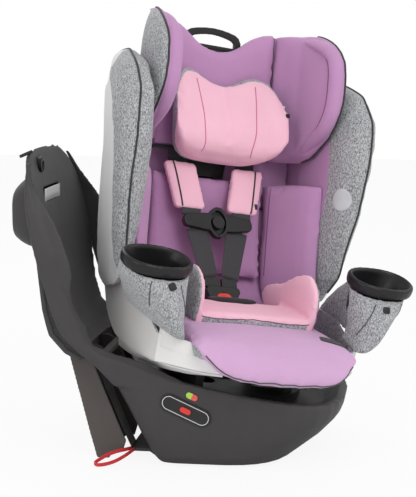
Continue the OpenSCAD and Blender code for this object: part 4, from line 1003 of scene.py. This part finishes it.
# --------
# Studio. A pale floor that the camera sees as white, soft lamps from above and both sides, and a plain
# pale world.
# --------
def studio_floor():
    """Pale matt floor: white to the camera where nothing shades it, with the object's shadow kept."""
    finish = Finish("floor", 0.55)
    grain = finish.noise(300, 2)
    finish.feed(colour=finish.mix(grain, (0.80, 0.80, 0.80), (0.84, 0.84, 0.84)))
    glow = finish.add("Emission", None, {"Color": (1, 1, 1, 1), "Strength": 1.0})
    away = finish.add("LightPath", output=0) * 0.9
    mixed = finish.add("MixShader", None, {0: away})
    finish.tree.links.new(finish.surface.outputs[0], mixed.socket.node.inputs[1])
    finish.tree.links.new(glow.socket, mixed.socket.node.inputs[2])
    finish.tree.links.new(mixed.socket, finish.tree.nodes["Material Output"].inputs[0])
    return finish.material


FLOOR = [(-6, -6, -0.001), (6, -6, -0.001), (6, 6, -0.001), (-6, 6, -0.001)]
floor = new_piece("floor", FLOOR, [(0, 1, 2, 3)])
give(floor, studio_floor())
world = bpy.data.worlds.new("studio")
bpy.context.scene.world = world
world.use_nodes = True
sky = world.node_tree
paths = sky.nodes.new("ShaderNodeLightPath")
seen = sky.nodes.new("ShaderNodeMath")
seen.operation = "MAXIMUM"
sky.links.new(paths.outputs["Is Camera Ray"], seen.inputs[0])
sky.links.new(paths.outputs["Is Transmission Ray"], seen.inputs[1])
strength = sky.nodes.new("ShaderNodeMapRange")
sky.links.new(seen.outputs[0], strength.inputs["Value"])
strength.inputs["To Min"].default_value, strength.inputs["To Max"].default_value = 0.72, 1.0
backdrop = sky.nodes["Background"]
backdrop.inputs["Color"].default_value = (1, 1, 1, 1)
sky.links.new(strength.outputs[0], backdrop.inputs["Strength"])
LAMPS = (("key", (-1.9, -1.5, 2.3), 26, 1.6), ("fill", (-2.2, 1.2, 1.3), 12, 1.8),
         ("rim", (1.6, 1.4, 2.2), 14, 1.4), ("front", (0.3, -2.4, 1.4), 9, 1.6))
for label, spot, power, size in LAMPS:
    data = bpy.data.lights.new(label, "AREA")
    data.energy, data.size, data.shape = power, size, "DISK"
    lamp = bpy.data.objects.new(label, data)
    bpy.context.scene.collection.objects.link(lamp)
    lamp.location = spot
    lamp.rotation_euler = (Vector(spot) - Vector((0, 0, 0.35))).to_track_quat("Z", "Y").to_euler()
bpy.context.scene.view_settings.view_transform = "Standard"


# --------
# Measures. Where the dressed object shows in the photograph's frame, and the middle of what shows of each
# feature.
# --------
def seen_at(places):
    """Pixels of the photograph's frame at which places in metres show."""
    place = camera.matrix_world
    local = (np.asarray(places) - np.array(place.translation)) @ np.array(place.to_3x3())
    scale = max(IMAGE_W, IMAGE_H) * LENS / SENSOR
    return np.column_stack([IMAGE_W / 2 + scale * local[:, 0] / -local[:, 2],
                            IMAGE_H / 2 - scale * local[:, 1] / -local[:, 2]])


def finished(name):
    """Places of a piece's finished mesh, modifiers included."""
    graph = bpy.context.evaluated_depsgraph_get()
    piece = bpy.data.objects[name].evaluated_get(graph)
    co = coords_of(piece.to_mesh())
    piece.to_mesh_clear()
    return co


# A cup shows above a plane of the seat's frame, and the handle above a height of the back's frame
RING_FOOT, RING_SLOPE, RING_MIDDLE, NOTCH_FLOOR = 168, 0.21, -130, 512


def middle(*names):
    """The middle of what shows: of a cup only the ring that stands out of its pod, and of the handle the
    arch."""
    places = np.vstack([finished(name) for name in names])
    if names[0].startswith("cup_moulding"):
        _, y, z = seat_place.into(places).T
        places = places[z > RING_FOOT + RING_SLOPE * (y - RING_MIDDLE)]
    if names[0] == "handle":
        places = places[back_place.into(places)[:, 2] > NOTCH_FLOOR]
    shown = seen_at(places)
    return (shown.min(0) + shown.max(0)) / 2


bpy.context.view_layer.update()
shown_pieces = [o.name for o in bpy.data.objects
                if o.type == "MESH" and not o.hide_render and o.name != "floor"]
every = np.vstack([seen_at(finished(name)) for name in shown_pieces])
FEATURES = {"handle": ("handle",), "pillow_tab": ("pillow_tab",), "strap_cap": ("cap_disc",),
            "round_badge": ("plain_badge",), "pad_tab": ("pad_tab",),
            "chest_clip": ("clip_half_left", "clip_half_right"), "left_cup": ("cup_moulding_right",),
            "right_cup": ("cup_moulding_left",), "left_pod_tab": ("pod_tab_right",),
            "right_pod_tab": ("pod_tab_left",), "buckle_button": ("red_press",),
            "front_label": ("front_label",), "lock_indicator": ("lock_indicator",),
            "lock_button": ("lock_button",)}
for label, names in FEATURES.items():
    tuple(middle(*names))
seam = seen_at(finished("crest_seam_left"))
